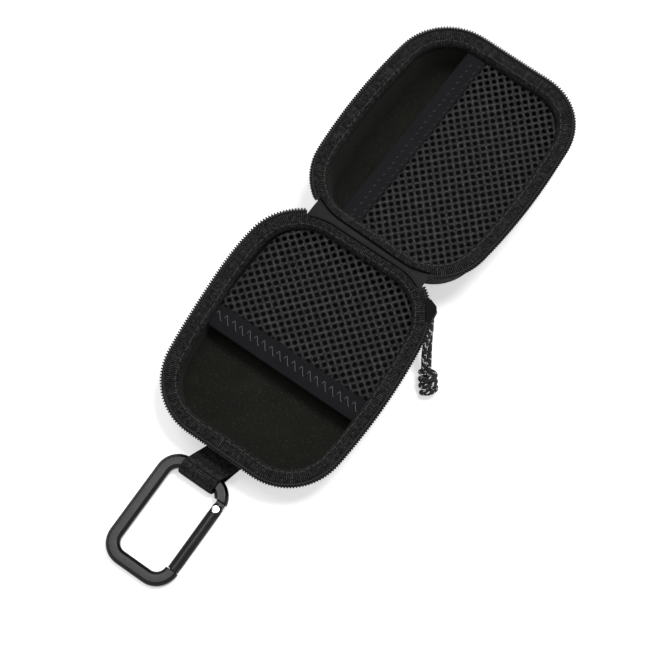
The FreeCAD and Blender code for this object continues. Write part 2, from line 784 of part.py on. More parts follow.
on_base = {
    "base_shell": base_shell,
    "base_lining": base_lining,
    "base_binding": binding(base_depth),
    "base_zip_tape": zip_tape(base_depth, -1),
    "base_zip_row": zip_row(base_depth, -1, tooth_pitch),
    "base_pocket_band": pocket_piece(base_depth, band_thickness, (base_band_left, -shell_length),
                                     (base_band_right, shell_length)),
    "base_pocket_net": net(base_depth, (base_band_right + ply_gap, -shell_length),
                           (shell_width, shell_length)),
    "hinge_strip": hinge_strip(),
}
on_lid = {
    "lid_shell": lid_shell,
    "lid_lining": lid_lining,
    "lid_binding": binding(lid_depth),
    "lid_zip_tape": zip_tape(lid_depth, 1),
    "lid_zip_row": zip_row(lid_depth, 1, tooth_pitch / 2),
    "lid_pocket_band": pocket_piece(lid_depth, band_thickness, (-shell_width, lid_band_low),
                                    (shell_width, lid_band_high)),
    "lid_pocket_net": net(lid_depth, (-shell_width, lid_band_high + ply_gap),
                          (shell_width, shell_length)),
}
on_clip = {
    "carabiner_frame": carabiner_frame(),
    "carabiner_gate": carabiner_gate(),
    "gate_rivet": gate_rivet(),
    "gate_spring": gate_spring(),
    "gate_plunger": gate_plunger(),
}
on_pull = {"pull_cord": pull_cord(), "pull_knot": pull_knot()}

nodes = dict(on_base)
nodes.update({name: moved(shape, lid_rest) for name, shape in on_lid.items()})
nodes["webbing_loop"] = webbing_loop()
nodes["zip_slider"] = moved(zip_slider(), slider_rest)
nodes.update({name: moved(shape, pull_rest) for name, shape in on_pull.items()})
nodes.update({name: moved(shape, clip_rest) for name, shape in on_clip.items()})

os.makedirs("parts", exist_ok=True)
for name, shape in nodes.items():
    box = shape.BoundBox
    print(name, "solids", len(shape.Solids), "valid", shape.isValid(), "volume", round(shape.Volume, 1),
          "z", round(box.ZMin, 2), round(box.ZMax, 2), "y", round(box.YMin, 1), round(box.YMax, 1))
    shape.exportStep("parts/" + name + ".step")

print("lid tilt", round(lid_tilt, 3), "clip tilt", round(clip_tilt, 3), "pull slope", round(pull_slope, 3))
print_joint("lid_hinge", Placement(), hinge_point, hinge_axis)
print_joint("slider_travel", lid_rest, Vector(corner_x, corner_y, lid_depth), up)
print_joint("pull_swing", slider_rest, pull_pivot, Vector(1, 0, 0))
print_joint("clip_swing", clip_rest, Vector(), Vector(1, 0, 0))
print_joint("gate_hinge", clip_rest, Vector(gate_x, -rivet_drop, 0), up)
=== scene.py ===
# %% [markdown]
# # Dressing a zip-closed case
# The frame holds the case's solids at their real size: two moulded halves, a cloth hinge, a zip
# with a corded slider, two net pockets and a carabiner on a strap. This lesson gives each of
# them its cloth, thread and metal. The frame is loaded first and never moved, so every new
# piece is made where the solids are, in metres, and then rides on the body that carries it.

# %% Load the frame
import json
import math
from collections import namedtuple

import bpy
import numpy as np
from mathutils import Matrix, Vector


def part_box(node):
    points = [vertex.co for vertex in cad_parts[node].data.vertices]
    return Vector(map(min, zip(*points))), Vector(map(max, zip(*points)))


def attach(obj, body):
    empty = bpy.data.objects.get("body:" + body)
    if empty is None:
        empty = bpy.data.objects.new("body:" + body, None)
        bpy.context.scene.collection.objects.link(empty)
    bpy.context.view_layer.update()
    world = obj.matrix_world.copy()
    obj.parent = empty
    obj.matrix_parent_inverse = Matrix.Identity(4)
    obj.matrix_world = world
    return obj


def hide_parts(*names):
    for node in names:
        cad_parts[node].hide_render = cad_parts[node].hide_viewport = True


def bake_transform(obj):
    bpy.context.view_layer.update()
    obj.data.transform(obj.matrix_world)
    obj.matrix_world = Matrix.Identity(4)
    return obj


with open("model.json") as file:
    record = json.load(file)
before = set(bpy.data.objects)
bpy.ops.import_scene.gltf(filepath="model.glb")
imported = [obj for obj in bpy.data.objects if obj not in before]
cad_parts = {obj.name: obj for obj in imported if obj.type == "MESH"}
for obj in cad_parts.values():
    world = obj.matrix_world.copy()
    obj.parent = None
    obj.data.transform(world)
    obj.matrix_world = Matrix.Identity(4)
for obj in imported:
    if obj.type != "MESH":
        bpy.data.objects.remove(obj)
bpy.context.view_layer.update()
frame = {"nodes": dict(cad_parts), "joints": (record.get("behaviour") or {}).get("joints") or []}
joints = {joint["name"]: joint for joint in frame["joints"]}
MM = 0.001

# %% [markdown]
# ## The camera
# The photograph looks down steeply on the open case, from in front of it and to its right. The
# angles, the distance and the scale below were fitted to the outlines of the two halves. The
# scale is in picture points for each millimetre at the point that the camera looks at, and
# together with the distance it gives the lens.

# %% Camera
photo_side = 660
points_per_mm = 2.5551
view_azimuth = math.radians(36.68)
view_elevation = math.radians(71.16)
view_distance = 700 * MM
view_target = Vector((7.24, -84.70, 20.0)) * MM

view_back = Vector((math.sin(view_azimuth) * math.cos(view_elevation),
                    -math.cos(view_azimuth) * math.cos(view_elevation), math.sin(view_elevation)))
camera = bpy.data.objects.new("camera", bpy.data.cameras.new("camera"))
camera.location = view_target + view_back * view_distance
camera.rotation_mode = "QUATERNION"
camera.rotation_quaternion = (-view_back).to_track_quat("-Z", "Y")
camera.data.sensor_width = 36
camera.data.lens = 36 * points_per_mm * view_distance / MM / photo_side
camera.data.clip_start = 0.01
bpy.context.scene.collection.objects.link(camera)
bpy.context.scene.camera = camera
print("lens", round(camera.data.lens, 2))

# %% [markdown]
# ## The rim's route
# Almost everything on a moulded case follows its rim: the walls, the lining, the binding, the
# zip. The rim has bowed long sides, round corners and straight ends. One function gives its
# points and outward normals at any distance along it, measured from the middle of the hinge
# side round the right-hand side. A profile swept along that route then makes each piece. Soft
# halves aren't quite true, so a few places on each rim stand out by a millimetre or so.

# %% Rim sizes and route
shell_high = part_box("base_shell")[1]
half_width = shell_high.x
half_length = shell_high.y
base_depth = shell_high.z
lid_depth = 17 * MM
corner_radius = 22.7 * MM
bow_radius = 240 * MM
lid_draft = math.radians(2)
base_draft = math.radians(9)

corner_y = half_length - corner_radius
bow_x = half_width - bow_radius
corner_x = bow_x + math.sqrt((bow_radius - corner_radius) ** 2 - corner_y ** 2)
bow_angle = math.atan2(corner_y, corner_x - bow_x)
corner_run = corner_radius * (math.pi / 2 - bow_angle)
side_run = 2 * bow_radius * bow_angle
rim_length = 2 * (2 * corner_x + 2 * corner_run + side_run)
far_corner = corner_x + corner_run + side_run + corner_run / 2
base_swell = [(rim_length / 2, 30 * MM, 0.3 * MM), (far_corner, 14 * MM, 0.9 * MM)]
lid_swell = [(rim_length - 54 * MM, 22 * MM, 1.5 * MM)]


def swell_at(travel, hinge_side):
    """How far the rim stands out at each travel; a swell is its middle, spread and reach."""
    total = 0.0
    for middle, spread, reach in base_swell if hinge_side < 0 else lid_swell:
        away = np.mod(travel - middle + rim_length / 2, rim_length) - rim_length / 2
        total = total + reach * np.exp(-(away / spread) ** 2)
    return total


def rim_at(travel, hinge_side=-1):
    """Points and outward normals on the rim, as arrays of x and y."""
    t = np.mod(np.asarray(travel, float), rim_length)
    swell = swell_at(t, hinge_side)
    left = t > rim_length / 2
    t = np.where(left, rim_length - t, t)
    ends = np.cumsum([corner_x, corner_run, side_run, corner_run])
    near = -math.pi / 2 + (t - ends[0]) / corner_radius
    side = -bow_angle + (t - ends[1]) / bow_radius
    far = bow_angle + (t - ends[2]) / corner_radius
    stretch = [t < ends[0], t < ends[1], t < ends[2], t < ends[3]]
    angle = np.select(stretch, [-math.pi / 2 + 0 * t, near, side, far], math.pi / 2)
    x = np.select(stretch, [t, corner_x + corner_radius * np.cos(near), bow_x + bow_radius * np.cos(side),
                            corner_x + corner_radius * np.cos(far)], corner_x - (t - ends[3]))
    y = np.select(stretch, [-half_length + 0 * t, -corner_y + corner_radius * np.sin(near),
                            bow_radius * np.sin(side), corner_y + corner_radius * np.sin(far)], half_length)
    mirror = np.where(left, -1.0, 1.0)
    points = np.stack([x * mirror, -y * hinge_side], -1)
    normals = np.stack([np.cos(angle) * mirror, -np.sin(angle) * hinge_side], -1)
    return points + normals * swell[..., None], normals


def rim_distance(points):
    """Signed distance of points from the rim, less than nothing inside, and the outward normal."""
    x, y = np.abs(points[:, 0]), np.abs(points[:, 1])
    in_bow = np.arctan2(y, x - bow_x) <= bow_angle
    in_corner = ~in_bow & (x > corner_x)
    centre_x = np.where(in_bow, bow_x, np.where(in_corner, corner_x, x))
    centre_y = np.where(in_bow, 0.0, np.where(in_corner, corner_y, y - 1.0))
    away = np.stack([x - centre_x, y - centre_y], -1)
    reach = np.linalg.norm(away, axis=1)
    curved = np.where(in_bow, reach - bow_radius, reach - corner_radius)
    distance = np.where(in_bow | in_corner, curved, y - half_length)
    return distance, away / reach[:, None] * np.sign(points + 1e-12)


print("rim length mm", round(rim_length / MM, 1))

# %% [markdown]
# ## Where the lid lies
# The lid is made like the deep half, rim up at the origin, and then moved to where it lies
# open. Shut, it is turned over on top of the deep half. From there it opens by the whole range
# of the hinge joint, so the frame's own joint gives its place. The hinge side says on which side
# along Y a half has its hinge, before it is moved.

# %% Lid's place
hinge = joints["lid_hinge"]
hinge_point = Vector(hinge["pos_m"])
hinge_axis = Vector(hinge["axis"])
open_turn = math.radians(-hinge["range_deg"][0])
shut_height = 2 * hinge_point.z - base_depth + lid_depth
turn_over = Matrix.Translation((0, 0, shut_height)) @ Matrix.Rotation(math.pi, 4, "X")
swing_open = (Matrix.Translation(hinge_point) @ Matrix.Rotation(open_turn, 4, hinge_axis)
              @ Matrix.Translation(-hinge_point))
lid_place = np.array(swing_open @ turn_over)
Half = namedtuple("Half", "depth place hinge_side")
halves = {"base": Half(base_depth, np.eye(4), -1), "lid": Half(lid_depth, lid_place, 1)}


def placed(points, place):
    """Points moved by a 4 by 4 matrix."""
    return points @ place[:3, :3].T + place[:3, 3]


lid_front = placed(np.array([[0, -half_length, lid_depth]]), lid_place)[0]
print("lid front edge", np.round(lid_front / MM, 2))

# %% [markdown]
# ## Mesh helpers
# A swept piece is a grid of points, so its faces and its cloth coordinates come from row and
# column numbers. The cloth coordinates are in metres, along and across the cloth, and let the
# weaves further down keep their true scale. A tube is a grid too, with rings square to a path.

# %% Grids and pieces
def grid(rows, columns, wrap_rows=False, wrap_columns=False):
    """Quads of a grid, with the row and column of each corner before wrapping."""
    r, c = np.meshgrid(np.arange(rows - (not wrap_rows)), np.arange(columns - (not wrap_columns)),
                       indexing="ij")
    row = np.stack([r, r + 1, r + 1, r], -1).reshape(-1, 4)
    column = np.stack([c, c, c + 1, c + 1], -1).reshape(-1, 4)
    return (row % rows) * columns + column % columns, row, column


def new_piece(name, points, faces, material, body, coords=None, marks=None):
    """Smooth mesh on a body; coords are cloth coordinates for each face corner, marks for each point."""
    mesh = bpy.data.meshes.new(name)
    mesh.from_pydata(np.asarray(points).tolist(), [], [list(face) for face in faces])
    if coords is not None:
        layer = mesh.uv_layers.new(name="cloth")
        layer.data.foreach_set("uv", np.asarray(coords, np.float32).ravel())
    for mark, values in (marks or {}).items():
        attribute = mesh.attributes.new(mark, "FLOAT", "POINT")
        attribute.data.foreach_set("value", np.asarray(values, np.float32).ravel())
    mesh.shade_smooth()
    mesh.materials.append(material)
    piece = bpy.data.objects.new(name, mesh)
    bpy.context.scene.collection.objects.link(piece)
    if body:
        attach(piece, body)
    return piece


def end_caps(rows, columns):
    """Faces that close the first and last ring of a grid."""
    return [list(range(columns))[::-1], list(range((rows - 1) * columns, rows * columns))]


def ring_piece(name, rings, along, girth, material, body, marks=None):
    """Piece made of rings of points with capped ends; along and girth are its cloth coordinates."""
    rows, columns = rings.shape[:2]
    faces, row, column = grid(rows, columns, False, True)
    coords = np.stack([along[row], girth[column]], -1).reshape(-1, 2)
    coords = np.concatenate([coords, np.zeros((2 * columns, 2))])
    faces = faces.tolist() + end_caps(rows, columns)
    return new_piece(name, rings.reshape(-1, 3), faces, material, body, coords, marks)


# %% Sweeps and tubes
def run_of(points):
    """Distance along a path at each of its points."""
    return np.append(0, np.cumsum(np.linalg.norm(np.diff(points, axis=0), axis=1)))


def even_path(points, step):
    """Path resampled at an even step, and the distance along it of each new point."""
    lengths = run_of(points)
    places = np.linspace(0, lengths[-1], int(lengths[-1] / step))
    return np.stack([np.interp(places, lengths, column) for column in points.T], -1), places


def squared(wave, power):
    """Sine-like wave with flatter tops."""
    return np.sign(wave) * np.abs(wave) ** power


def rim_surface(travel, offsets, heights, hinge_side):
    """Points of a profile of offsets and heights carried along the rim, row by row."""
    points, normals = rim_at(travel, hinge_side)
    offsets = np.broadcast_to(offsets, (len(travel), np.shape(offsets)[-1]))
    heights = np.broadcast_to(heights, offsets.shape)
    flat = points[:, None, :] + normals[:, None, :] * offsets[:, :, None]
    return np.concatenate([flat, heights[:, :, None]], -1).reshape(-1, 3)


def swept(name, body, travel, offsets, heights, material, closed=True, marks=None):
    """Closed profile carried along a half's rim; the route's ends are joined, or else capped."""
    half = halves[body]
    solid = rim_surface(travel, offsets, heights, half.hinge_side)
    rows, columns = len(travel), np.shape(offsets)[-1]
    faces, row, column = grid(rows, columns, closed, True)
    along = np.append(travel, travel[0] + rim_length)
    section = np.stack([np.atleast_2d(offsets)[0], np.atleast_2d(heights)[0]], -1)
    across = run_of(np.concatenate([section, section[:1]]))
    coords = np.stack([along[row], across[column]], -1)
    if half.hinge_side > 0:
        faces, coords = faces[:, ::-1], coords[:, ::-1]
    faces, coords = faces.tolist(), coords.reshape(-1, 2)
    if not closed:
        caps = end_caps(rows, columns)
        faces += caps if half.hinge_side > 0 else [cap[::-1] for cap in caps]
        ends = np.zeros((2, columns, 2))
        ends[:, :, 1] = across[:columns]
        coords = np.concatenate([coords, ends.reshape(-1, 2)])
    return new_piece(name, placed(solid, half.place), faces, material, body, coords, marks)


def path_frames(path):
    """Two steady normals, square to a path, at each of its points."""
    tangent = np.gradient(path, axis=0)
    tangent /= np.linalg.norm(tangent, axis=1)[:, None]
    side = np.cross(tangent[0], [0, 0, 1.0] if abs(tangent[0][2]) < 0.9 else [1.0, 0, 0])
    sides = []
    for t in tangent:
        side = side - t * (side @ t)
        side /= np.linalg.norm(side)
        sides.append(side)
    sides = np.array(sides)
    return sides, np.cross(tangent, sides)


def tube(path, radii, sides):
    """Points and faces of a tube with capped ends; radii are one for each ring, or ring by side."""
    side, lift = path_frames(path)
    radii = np.broadcast_to(radii[:, None] if radii.ndim == 1 else radii, (len(path), sides))
    angle = 2 * np.pi * np.arange(sides) / sides
    ring = side[:, None, :] * np.cos(angle)[None, :, None] + lift[:, None, :] * np.sin(angle)[None, :, None]
    points = (path[:, None, :] + ring * radii[:, :, None]).reshape(-1, 3)
    faces = grid(len(path), sides, False, True)[0]
    return points, faces.tolist() + end_caps(len(path), sides)


def joined(parts):
    """Several (points, faces) as one."""
    points, faces, start = [], [], 0
    for part_points, part_faces in parts:
        points.append(part_points)
        faces += [[i + start for i in face] for face in part_faces]
        start += len(part_points)
    return np.concatenate(points), faces


# %% [markdown]
# ## Finishes
# Black cloth is never one black. A weave catches light thread by thread, felt has lint, and
# anodised metal has faint handling marks. Most cloths below paint light into their colour as well:
# a painted highlight on thread tops, ribs and strand ridges, and painted shade in the gaps,
# grooves and hollows. Three node groups hold those effects: a plain weave worked out from the
# cloth coordinates, a fuzz of lint and short fibres, and handling marks. Each material places the
# groups with its own values, and keeps its own shader.

# %% Node helpers
def add(tree, kind, **values):
    """New node; a value goes to the input of that name, or else to the node's own setting."""
    node = tree.nodes.new(kind)
    for key, value in values.items():
        if key.replace("_", " ").title() in node.inputs:
            node.inputs[key.replace("_", " ").title()].default_value = value
        else:
            setattr(node, key, value)
    return node


def calc(tree, operation, *values):
    """Math node on sockets or numbers; returns its output."""
    node = tree.nodes.new("ShaderNodeMath")
    node.operation = operation
    for socket, value in zip(node.inputs, values):
        if isinstance(value, (int, float)):
            socket.default_value = value
        else:
            tree.links.new(value, socket)
    return node.outputs[0]


def blend_colours(tree, share, low, high):
    """Colour between two colours by a share."""
    node = tree.nodes.new("ShaderNodeMix")
    node.data_type = "RGBA"
    tree.links.new(share, node.inputs["Factor"])
    for socket, value in ((node.inputs[6], low), (node.inputs[7], high)):
        if isinstance(value, tuple):
            socket.default_value = (*value, 1)
        else:
            tree.links.new(value, socket)
    return node.outputs[2]


def clamped(tree, value):
    """Value kept between 0 and 1."""
    return calc(tree, "MINIMUM", calc(tree, "MAXIMUM", value, 0.0), 1.0)


# %% Effect groups
def new_group(name, inputs, outputs):
    """Empty shader group with named sockets; inputs are (name, kind, value)."""
    group = bpy.data.node_groups.new(name, "ShaderNodeTree")
    for label, kind, value in inputs:
        socket = group.interface.new_socket(label, in_out="INPUT", socket_type=kind)
        if value is not None:
            socket.default_value = value
    for label, kind in outputs:
        group.interface.new_socket(label, in_out="OUTPUT", socket_type=kind)
    return group, group.nodes.new("NodeGroupInput"), group.nodes.new("NodeGroupOutput")


def weave_group():
    """Plain weave: warp on top in one square of threads, weft in the next."""
    group, given, result = new_group(
        "weave", [("Cloth", "NodeSocketVector", None), ("Pitch", "NodeSocketFloat", 0.4 * MM)],
        [("Height", "NodeSocketFloat")])
    axes = add(group, "ShaderNodeSeparateXYZ")
    group.links.new(given.outputs["Cloth"], axes.inputs[0])
    waves = []
    for axis in ("X", "Y"):
        turns = calc(group, "DIVIDE", axes.outputs[axis], given.outputs["Pitch"])
        waves.append(calc(group, "SINE", calc(group, "MULTIPLY", turns, math.pi)))
    over = calc(group, "GREATER_THAN", calc(group, "MULTIPLY", *waves), 0.0)
    under = calc(group, "SUBTRACT", 1.0, over)
    warp = calc(group, "MULTIPLY", calc(group, "ABSOLUTE", waves[0]), over)
    weft = calc(group, "MULTIPLY", calc(group, "ABSOLUTE", waves[1]), under)
    group.links.new(calc(group, "MAXIMUM", warp, weft), result.inputs["Height"])
    return group


def noise(tree, vector, scale, detail):
    """Soft noise from 0 to 1."""
    node = add(tree, "ShaderNodeTexNoise", scale=scale, detail=detail)
    tree.links.new(vector, node.inputs["Vector"])
    return node.outputs["Fac"]


def fuzz_group():
    """Short fibres, flecks of lint and slow cloudy changes."""
    group, given, result = new_group(
        "fuzz", [("Place", "NodeSocketVector", None)],
        [("Height", "NodeSocketFloat"), ("Lint", "NodeSocketFloat"), ("Cloud", "NodeSocketFloat")])
    place = given.outputs["Place"]
    fine = noise(group, place, 2600.0, 3.0)
    fibre = noise(group, place, 900.0, 4.0)
    lint = calc(group, "MULTIPLY", calc(group, "SUBTRACT", noise(group, place, 1500.0, 1.0), 0.6), 5.0)
    height = calc(group, "ADD", calc(group, "MULTIPLY", fine, 0.5), calc(group, "MULTIPLY", fibre, 0.5))
    group.links.new(height, result.inputs["Height"])
    group.links.new(clamped(group, lint), result.inputs["Lint"])
    group.links.new(noise(group, place, 120.0, 2.0), result.inputs["Cloud"])
    return group


def handling_group():
    """Smears from handling, and fine grain."""
    group, given, result = new_group(
        "handling", [("Place", "NodeSocketVector", None)],
        [("Smear", "NodeSocketFloat"), ("Grain", "NodeSocketFloat")])
    place = given.outputs["Place"]
    group.links.new(noise(group, place, 260.0, 3.0), result.inputs["Smear"])
    group.links.new(noise(group, place, 5200.0, 2.0), result.inputs["Grain"])
    return group


groups = {"weave": weave_group(), "fuzz": fuzz_group(), "handling": handling_group()}
print("groups", sorted(groups))

# %% Material helpers
def place_group(tree, name, vector, **values):
    """Outputs of a group placed in a material; the vector goes to its first input."""
    node = tree.nodes.new("ShaderNodeGroup")
    node.node_tree = groups[name]
    tree.links.new(vector, node.inputs[0])
    for key, value in values.items():
        node.inputs[key].default_value = value
    return node.outputs


def new_material(name, **values):
    """Material with a principled shader; values go to its sockets. Returns what a finish needs."""
    material = bpy.data.materials.new(name)
    material.use_nodes = True
    tree = material.node_tree
    shader = tree.nodes["Principled BSDF"]
    for key, value in values.items():
        shader.inputs[key.replace("_", " ").title().replace("Ior", "IOR")].default_value = value
    place = tree.nodes.new("ShaderNodeTexCoord").outputs["Object"]
    return material, tree, shader, place


def cloth_map(tree):
    """The cloth coordinates of a piece."""
    return add(tree, "ShaderNodeUVMap", uv_map="cloth").outputs["UV"]


def mark(tree, name):
    """A mark that was put on a piece's points."""
    return add(tree, "ShaderNodeAttribute", attribute_name=name).outputs["Fac"]


def paint(tree, shader, share, low, high):
    """Base colour between two colours by a share."""
    tree.links.new(blend_colours(tree, share, low, high), shader.inputs["Base Color"])


def bump(tree, shader, height, distance):
    """Fine relief from a height."""
    node = add(tree, "ShaderNodeBump", distance=distance, strength=1.0)
    tree.links.new(height, node.inputs["Height"])
    tree.links.new(node.outputs["Normal"], shader.inputs["Normal"])

# %% [markdown]
# ### Cloths
# The cloths differ in weave, nap and depth of black. The shell's outside is a close plain weave
# with a painted highlight on its thread tops and painted shade in its gaps, the lining a felt with
# a slightly olive cast, the ribbed tapes have painted shade in the grooves and a painted highlight
# on the ribs, and the elastic has a violet cast. Sheen stands for the nap that catches light at
# the edges.

# %% Cloth materials
def woven_cloth(name, low, high, pitch, depth):
    """Plain weave with a painted highlight on its thread tops and painted shade in its gaps."""
    material, tree, shader, place = new_material(
        name, roughness=0.85, sheen_weight=0.03, sheen_roughness=0.4, specular_ior_level=0.05)
    threads = place_group(tree, "weave", cloth_map(tree), Pitch=pitch)["Height"]
    fuzz = place_group(tree, "fuzz", place)
    # Colour: painted highlight on the thread tops and painted shade in the gaps, times a random cloudy tone.
    paint(tree, shader, calc(tree, "MULTIPLY", threads, calc(tree, "ADD", fuzz["Cloud"], 0.4)), low, high)
    bump(tree, shader, calc(tree, "ADD", threads, calc(tree, "MULTIPLY", fuzz["Height"], 0.5)), depth)
    return material


def fibre_highlight(tree, height):
    """Painted highlight on loose fibres: the top of the fuzz, from 0 to 1."""
    return clamped(tree, calc(tree, "MULTIPLY", calc(tree, "SUBTRACT", height, 0.40), 4.0))


def ribbed_cloth(name, low, high):
    """Ribbed tape with a painted highlight on its ribs and painted shade in its grooves, by the mark on its
    points.
    """
    material, tree, shader, place = new_material(
        name, roughness=0.8, sheen_weight=0.03, sheen_roughness=0.35, specular_ior_level=0.06)
    fuzz = place_group(tree, "fuzz", place)
    # Colour: painted highlight on the ribs' fibre tops and painted shade in the grooves.
    paint(tree, shader, calc(tree, "MULTIPLY", mark(tree, "rib"), fibre_highlight(tree, fuzz["Height"])), low, high)
    threads = place_group(tree, "weave", cloth_map(tree), Pitch=0.28 * MM)["Height"]
    bump(tree, shader, calc(tree, "ADD", threads, fuzz["Height"]), 0.06 * MM)
    return material


def felt_cloth():
    """Short felt: cloudy ground with flecks of lint."""
    material, tree, shader, place = new_material(
        "lining_felt", roughness=0.95, sheen_weight=0.03, sheen_roughness=0.5, specular_ior_level=0.05)
    fuzz = place_group(tree, "fuzz", place)
    ground = blend_colours(tree, fuzz["Cloud"], (0.009, 0.009, 0.0075), (0.016, 0.016, 0.0135))
    paint(tree, shader, calc(tree, "MULTIPLY", fuzz["Lint"], 0.6), ground, (0.05, 0.05, 0.045))
    bump(tree, shader, fuzz["Height"], 0.25 * MM)
    return material


def net_cloth():
    """Knitted strands with a painted highlight on their ridges and painted shade towards the holes."""
    material, tree, shader, place = new_material(
        "pocket_net", roughness=0.7, sheen_weight=0.04, sheen_roughness=0.4, specular_ior_level=0.12)
    fuzz = place_group(tree, "fuzz", place)
    # Painted highlight on the strands' tops, speckled by their fibres.
    share = calc(tree, "MULTIPLY", mark(tree, "ridge_highlight"), fibre_highlight(tree, fuzz["Height"]))
    paint(tree, shader, share, (0.006, 0.006, 0.0065), (0.085, 0.085, 0.088))
    bump(tree, shader, fuzz["Height"], 0.18 * MM)
    return material


def thread(name, colour):
    """Sewing thread, with painted shade at half its colour in the hollows of its fibre relief."""
    material, tree, shader, place = new_material(
        name, roughness=0.75, sheen_weight=0.02, specular_ior_level=0.08)
    fuzz = place_group(tree, "fuzz", place)
    # Painted shade: half the colour where the fibre relief is low.
    paint(tree, shader, fuzz["Height"], tuple(0.5 * value for value in colour), colour)
    bump(tree, shader, fuzz["Height"], 0.05 * MM)
    return material


def braid_cloth():
    """Black braid with white flecks where the mark says so, and painted shade in the hollows of its fibre
    relief.
    """
    material, tree, shader, place = new_material(
        "pull_braid", roughness=0.7, sheen_weight=0.04, specular_ior_level=0.15)
    fuzz = place_group(tree, "fuzz", place)
    # Painted shade: each colour is darker where the fibre relief is low.
    black = blend_colours(tree, fuzz["Height"], (0.006, 0.006, 0.006), (0.03, 0.03, 0.03))
    white = blend_colours(tree, fuzz["Height"], (0.6, 0.6, 0.59), (0.9, 0.9, 0.88))
    paint(tree, shader, mark(tree, "fleck"), black, white)
    bump(tree, shader, fuzz["Height"], 0.05 * MM)
    return material


# For the woven and ribbed cloths, the first colour is painted shade for gaps and grooves and the second a
# painted highlight for thread tops and ribs.
shell_cloth = woven_cloth("shell_cloth", (0.008, 0.008, 0.0088), (0.048, 0.048, 0.050), 0.42 * MM, 0.08 * MM)
tape_cloth = woven_cloth("zip_tape", (0.016, 0.016, 0.0165), (0.055, 0.055, 0.056), 0.3 * MM, 0.05 * MM)
hinge_cloth = woven_cloth("hinge_cloth", (0.011, 0.011, 0.0115), (0.034, 0.034, 0.036), 0.3 * MM, 0.05 * MM)
band_cloth = woven_cloth("pocket_band", (0.007, 0.0067, 0.0080), (0.016, 0.0152, 0.0182), 0.5 * MM, 0.06 * MM)
binding_cloth = ribbed_cloth("binding_tape", (0.004, 0.004, 0.004), (0.105, 0.105, 0.105))
webbing_cloth = ribbed_cloth("webbing", (0.006, 0.006, 0.006), (0.095, 0.095, 0.095))
lining_felt = felt_cloth()
net_mesh = net_cloth()
grey_thread = thread("grey_thread", (0.165, 0.16, 0.162))
dark_thread = thread("dark_thread", (0.085, 0.085, 0.082))
pull_braid = braid_cloth()
print("cloths made", len(bpy.data.materials))

# %% [markdown]
# ### Nylon and metal
# The zip's teeth are a wound nylon wire, satin black. The carabiner is anodised black, which is
# metal with a dark colour: flat faces mirror the room softly, and bevels flash. The rivet and
# the spring are bare steel.

# %% Nylon and metal materials
def satin(name, low, high, metallic, roughness, grain, gloss=0.5):
    """Smooth finish with faint handling marks; grain is the depth of its fine texture."""
    material, tree, shader, place = new_material(name, metallic=metallic, specular_ior_level=gloss)
    marks = place_group(tree, "handling", place)
    paint(tree, shader, marks["Smear"], low, high)
    rough = calc(tree, "ADD", calc(tree, "MULTIPLY", marks["Smear"], 0.15), roughness)
    tree.links.new(rough, shader.inputs["Roughness"])
    bump(tree, shader, marks["Grain"], grain)
    return material


zip_nylon = satin("zip_teeth", (0.003, 0.003, 0.0033), (0.007, 0.007, 0.0075), 0.0, 0.5, 0.004 * MM, 0.2)
clip_metal = satin("clip_metal", (0.017, 0.017, 0.0175), (0.025, 0.025, 0.0255), 1.0, 0.20, 0.006 * MM)
slider_metal = satin("slider_metal", (0.003, 0.003, 0.0032), (0.006, 0.006, 0.0063), 1.0, 0.45, 0.006 * MM)
rivet_steel = satin("rivet_steel", (0.62, 0.62, 0.60), (0.78, 0.78, 0.76), 1.0, 0.18, 0.004 * MM)
spring_steel = satin("spring_steel", (0.40, 0.40, 0.40), (0.52, 0.52, 0.52), 1.0, 0.25, 0.004 * MM)
print("materials made", len(bpy.data.materials))

# %% [markdown]
# ## Shells and linings
# A moulded half is a foam sheet pressed to shape between its outer cloth and a felt lining. Both
# are swept profiles: straight wall with some draft, a rounded bottom edge and a flat floor that
# closes the last ring. The walls are kept at the solids' thickness. In the photograph the deep
# half shows almost no wall under its rim, so it has more draft and a rounder foot than the lid.

# %% Shells and linings
shell_wall = 3 * MM
ply_gap = 0.05 * MM
lining_out = shell_wall + ply_gap
lining_in = lining_out + 0.8 * MM
forms = {"base": (base_draft, 14 * MM), "lid": (lid_draft, 8 * MM)}
floor_strip = 5 * MM
half_travel = np.linspace(0, rim_length, 320, endpoint=False)


def tub_profile(depth, inset, form):
    """Offsets and heights of a drafted wall and its rounded foot, from the rim to the floor."""
    draft, bottom_round = form
    radius = bottom_round - inset
    turn = np.linspace(draft, math.pi / 2, 14)
    wall_foot = inset + radius * (1 - math.sin(draft))
    centre_offset = -inset - math.tan(draft) * (depth - wall_foot) - radius * math.cos(draft)
    wall = np.linspace(depth, wall_foot, 8)[:-1]
    wall_offsets = -inset - math.tan(draft) * (depth - wall)
    foot_offsets = centre_offset + radius * np.cos(turn)
    foot = inset + radius * (1 - np.sin(turn))
    inner = np.linspace(centre_offset, centre_offset - floor_strip, 4)[1:]
    return (np.concatenate([wall_offsets, foot_offsets, inner]),
            np.concatenate([wall, foot, np.full(len(inner), inset)]))


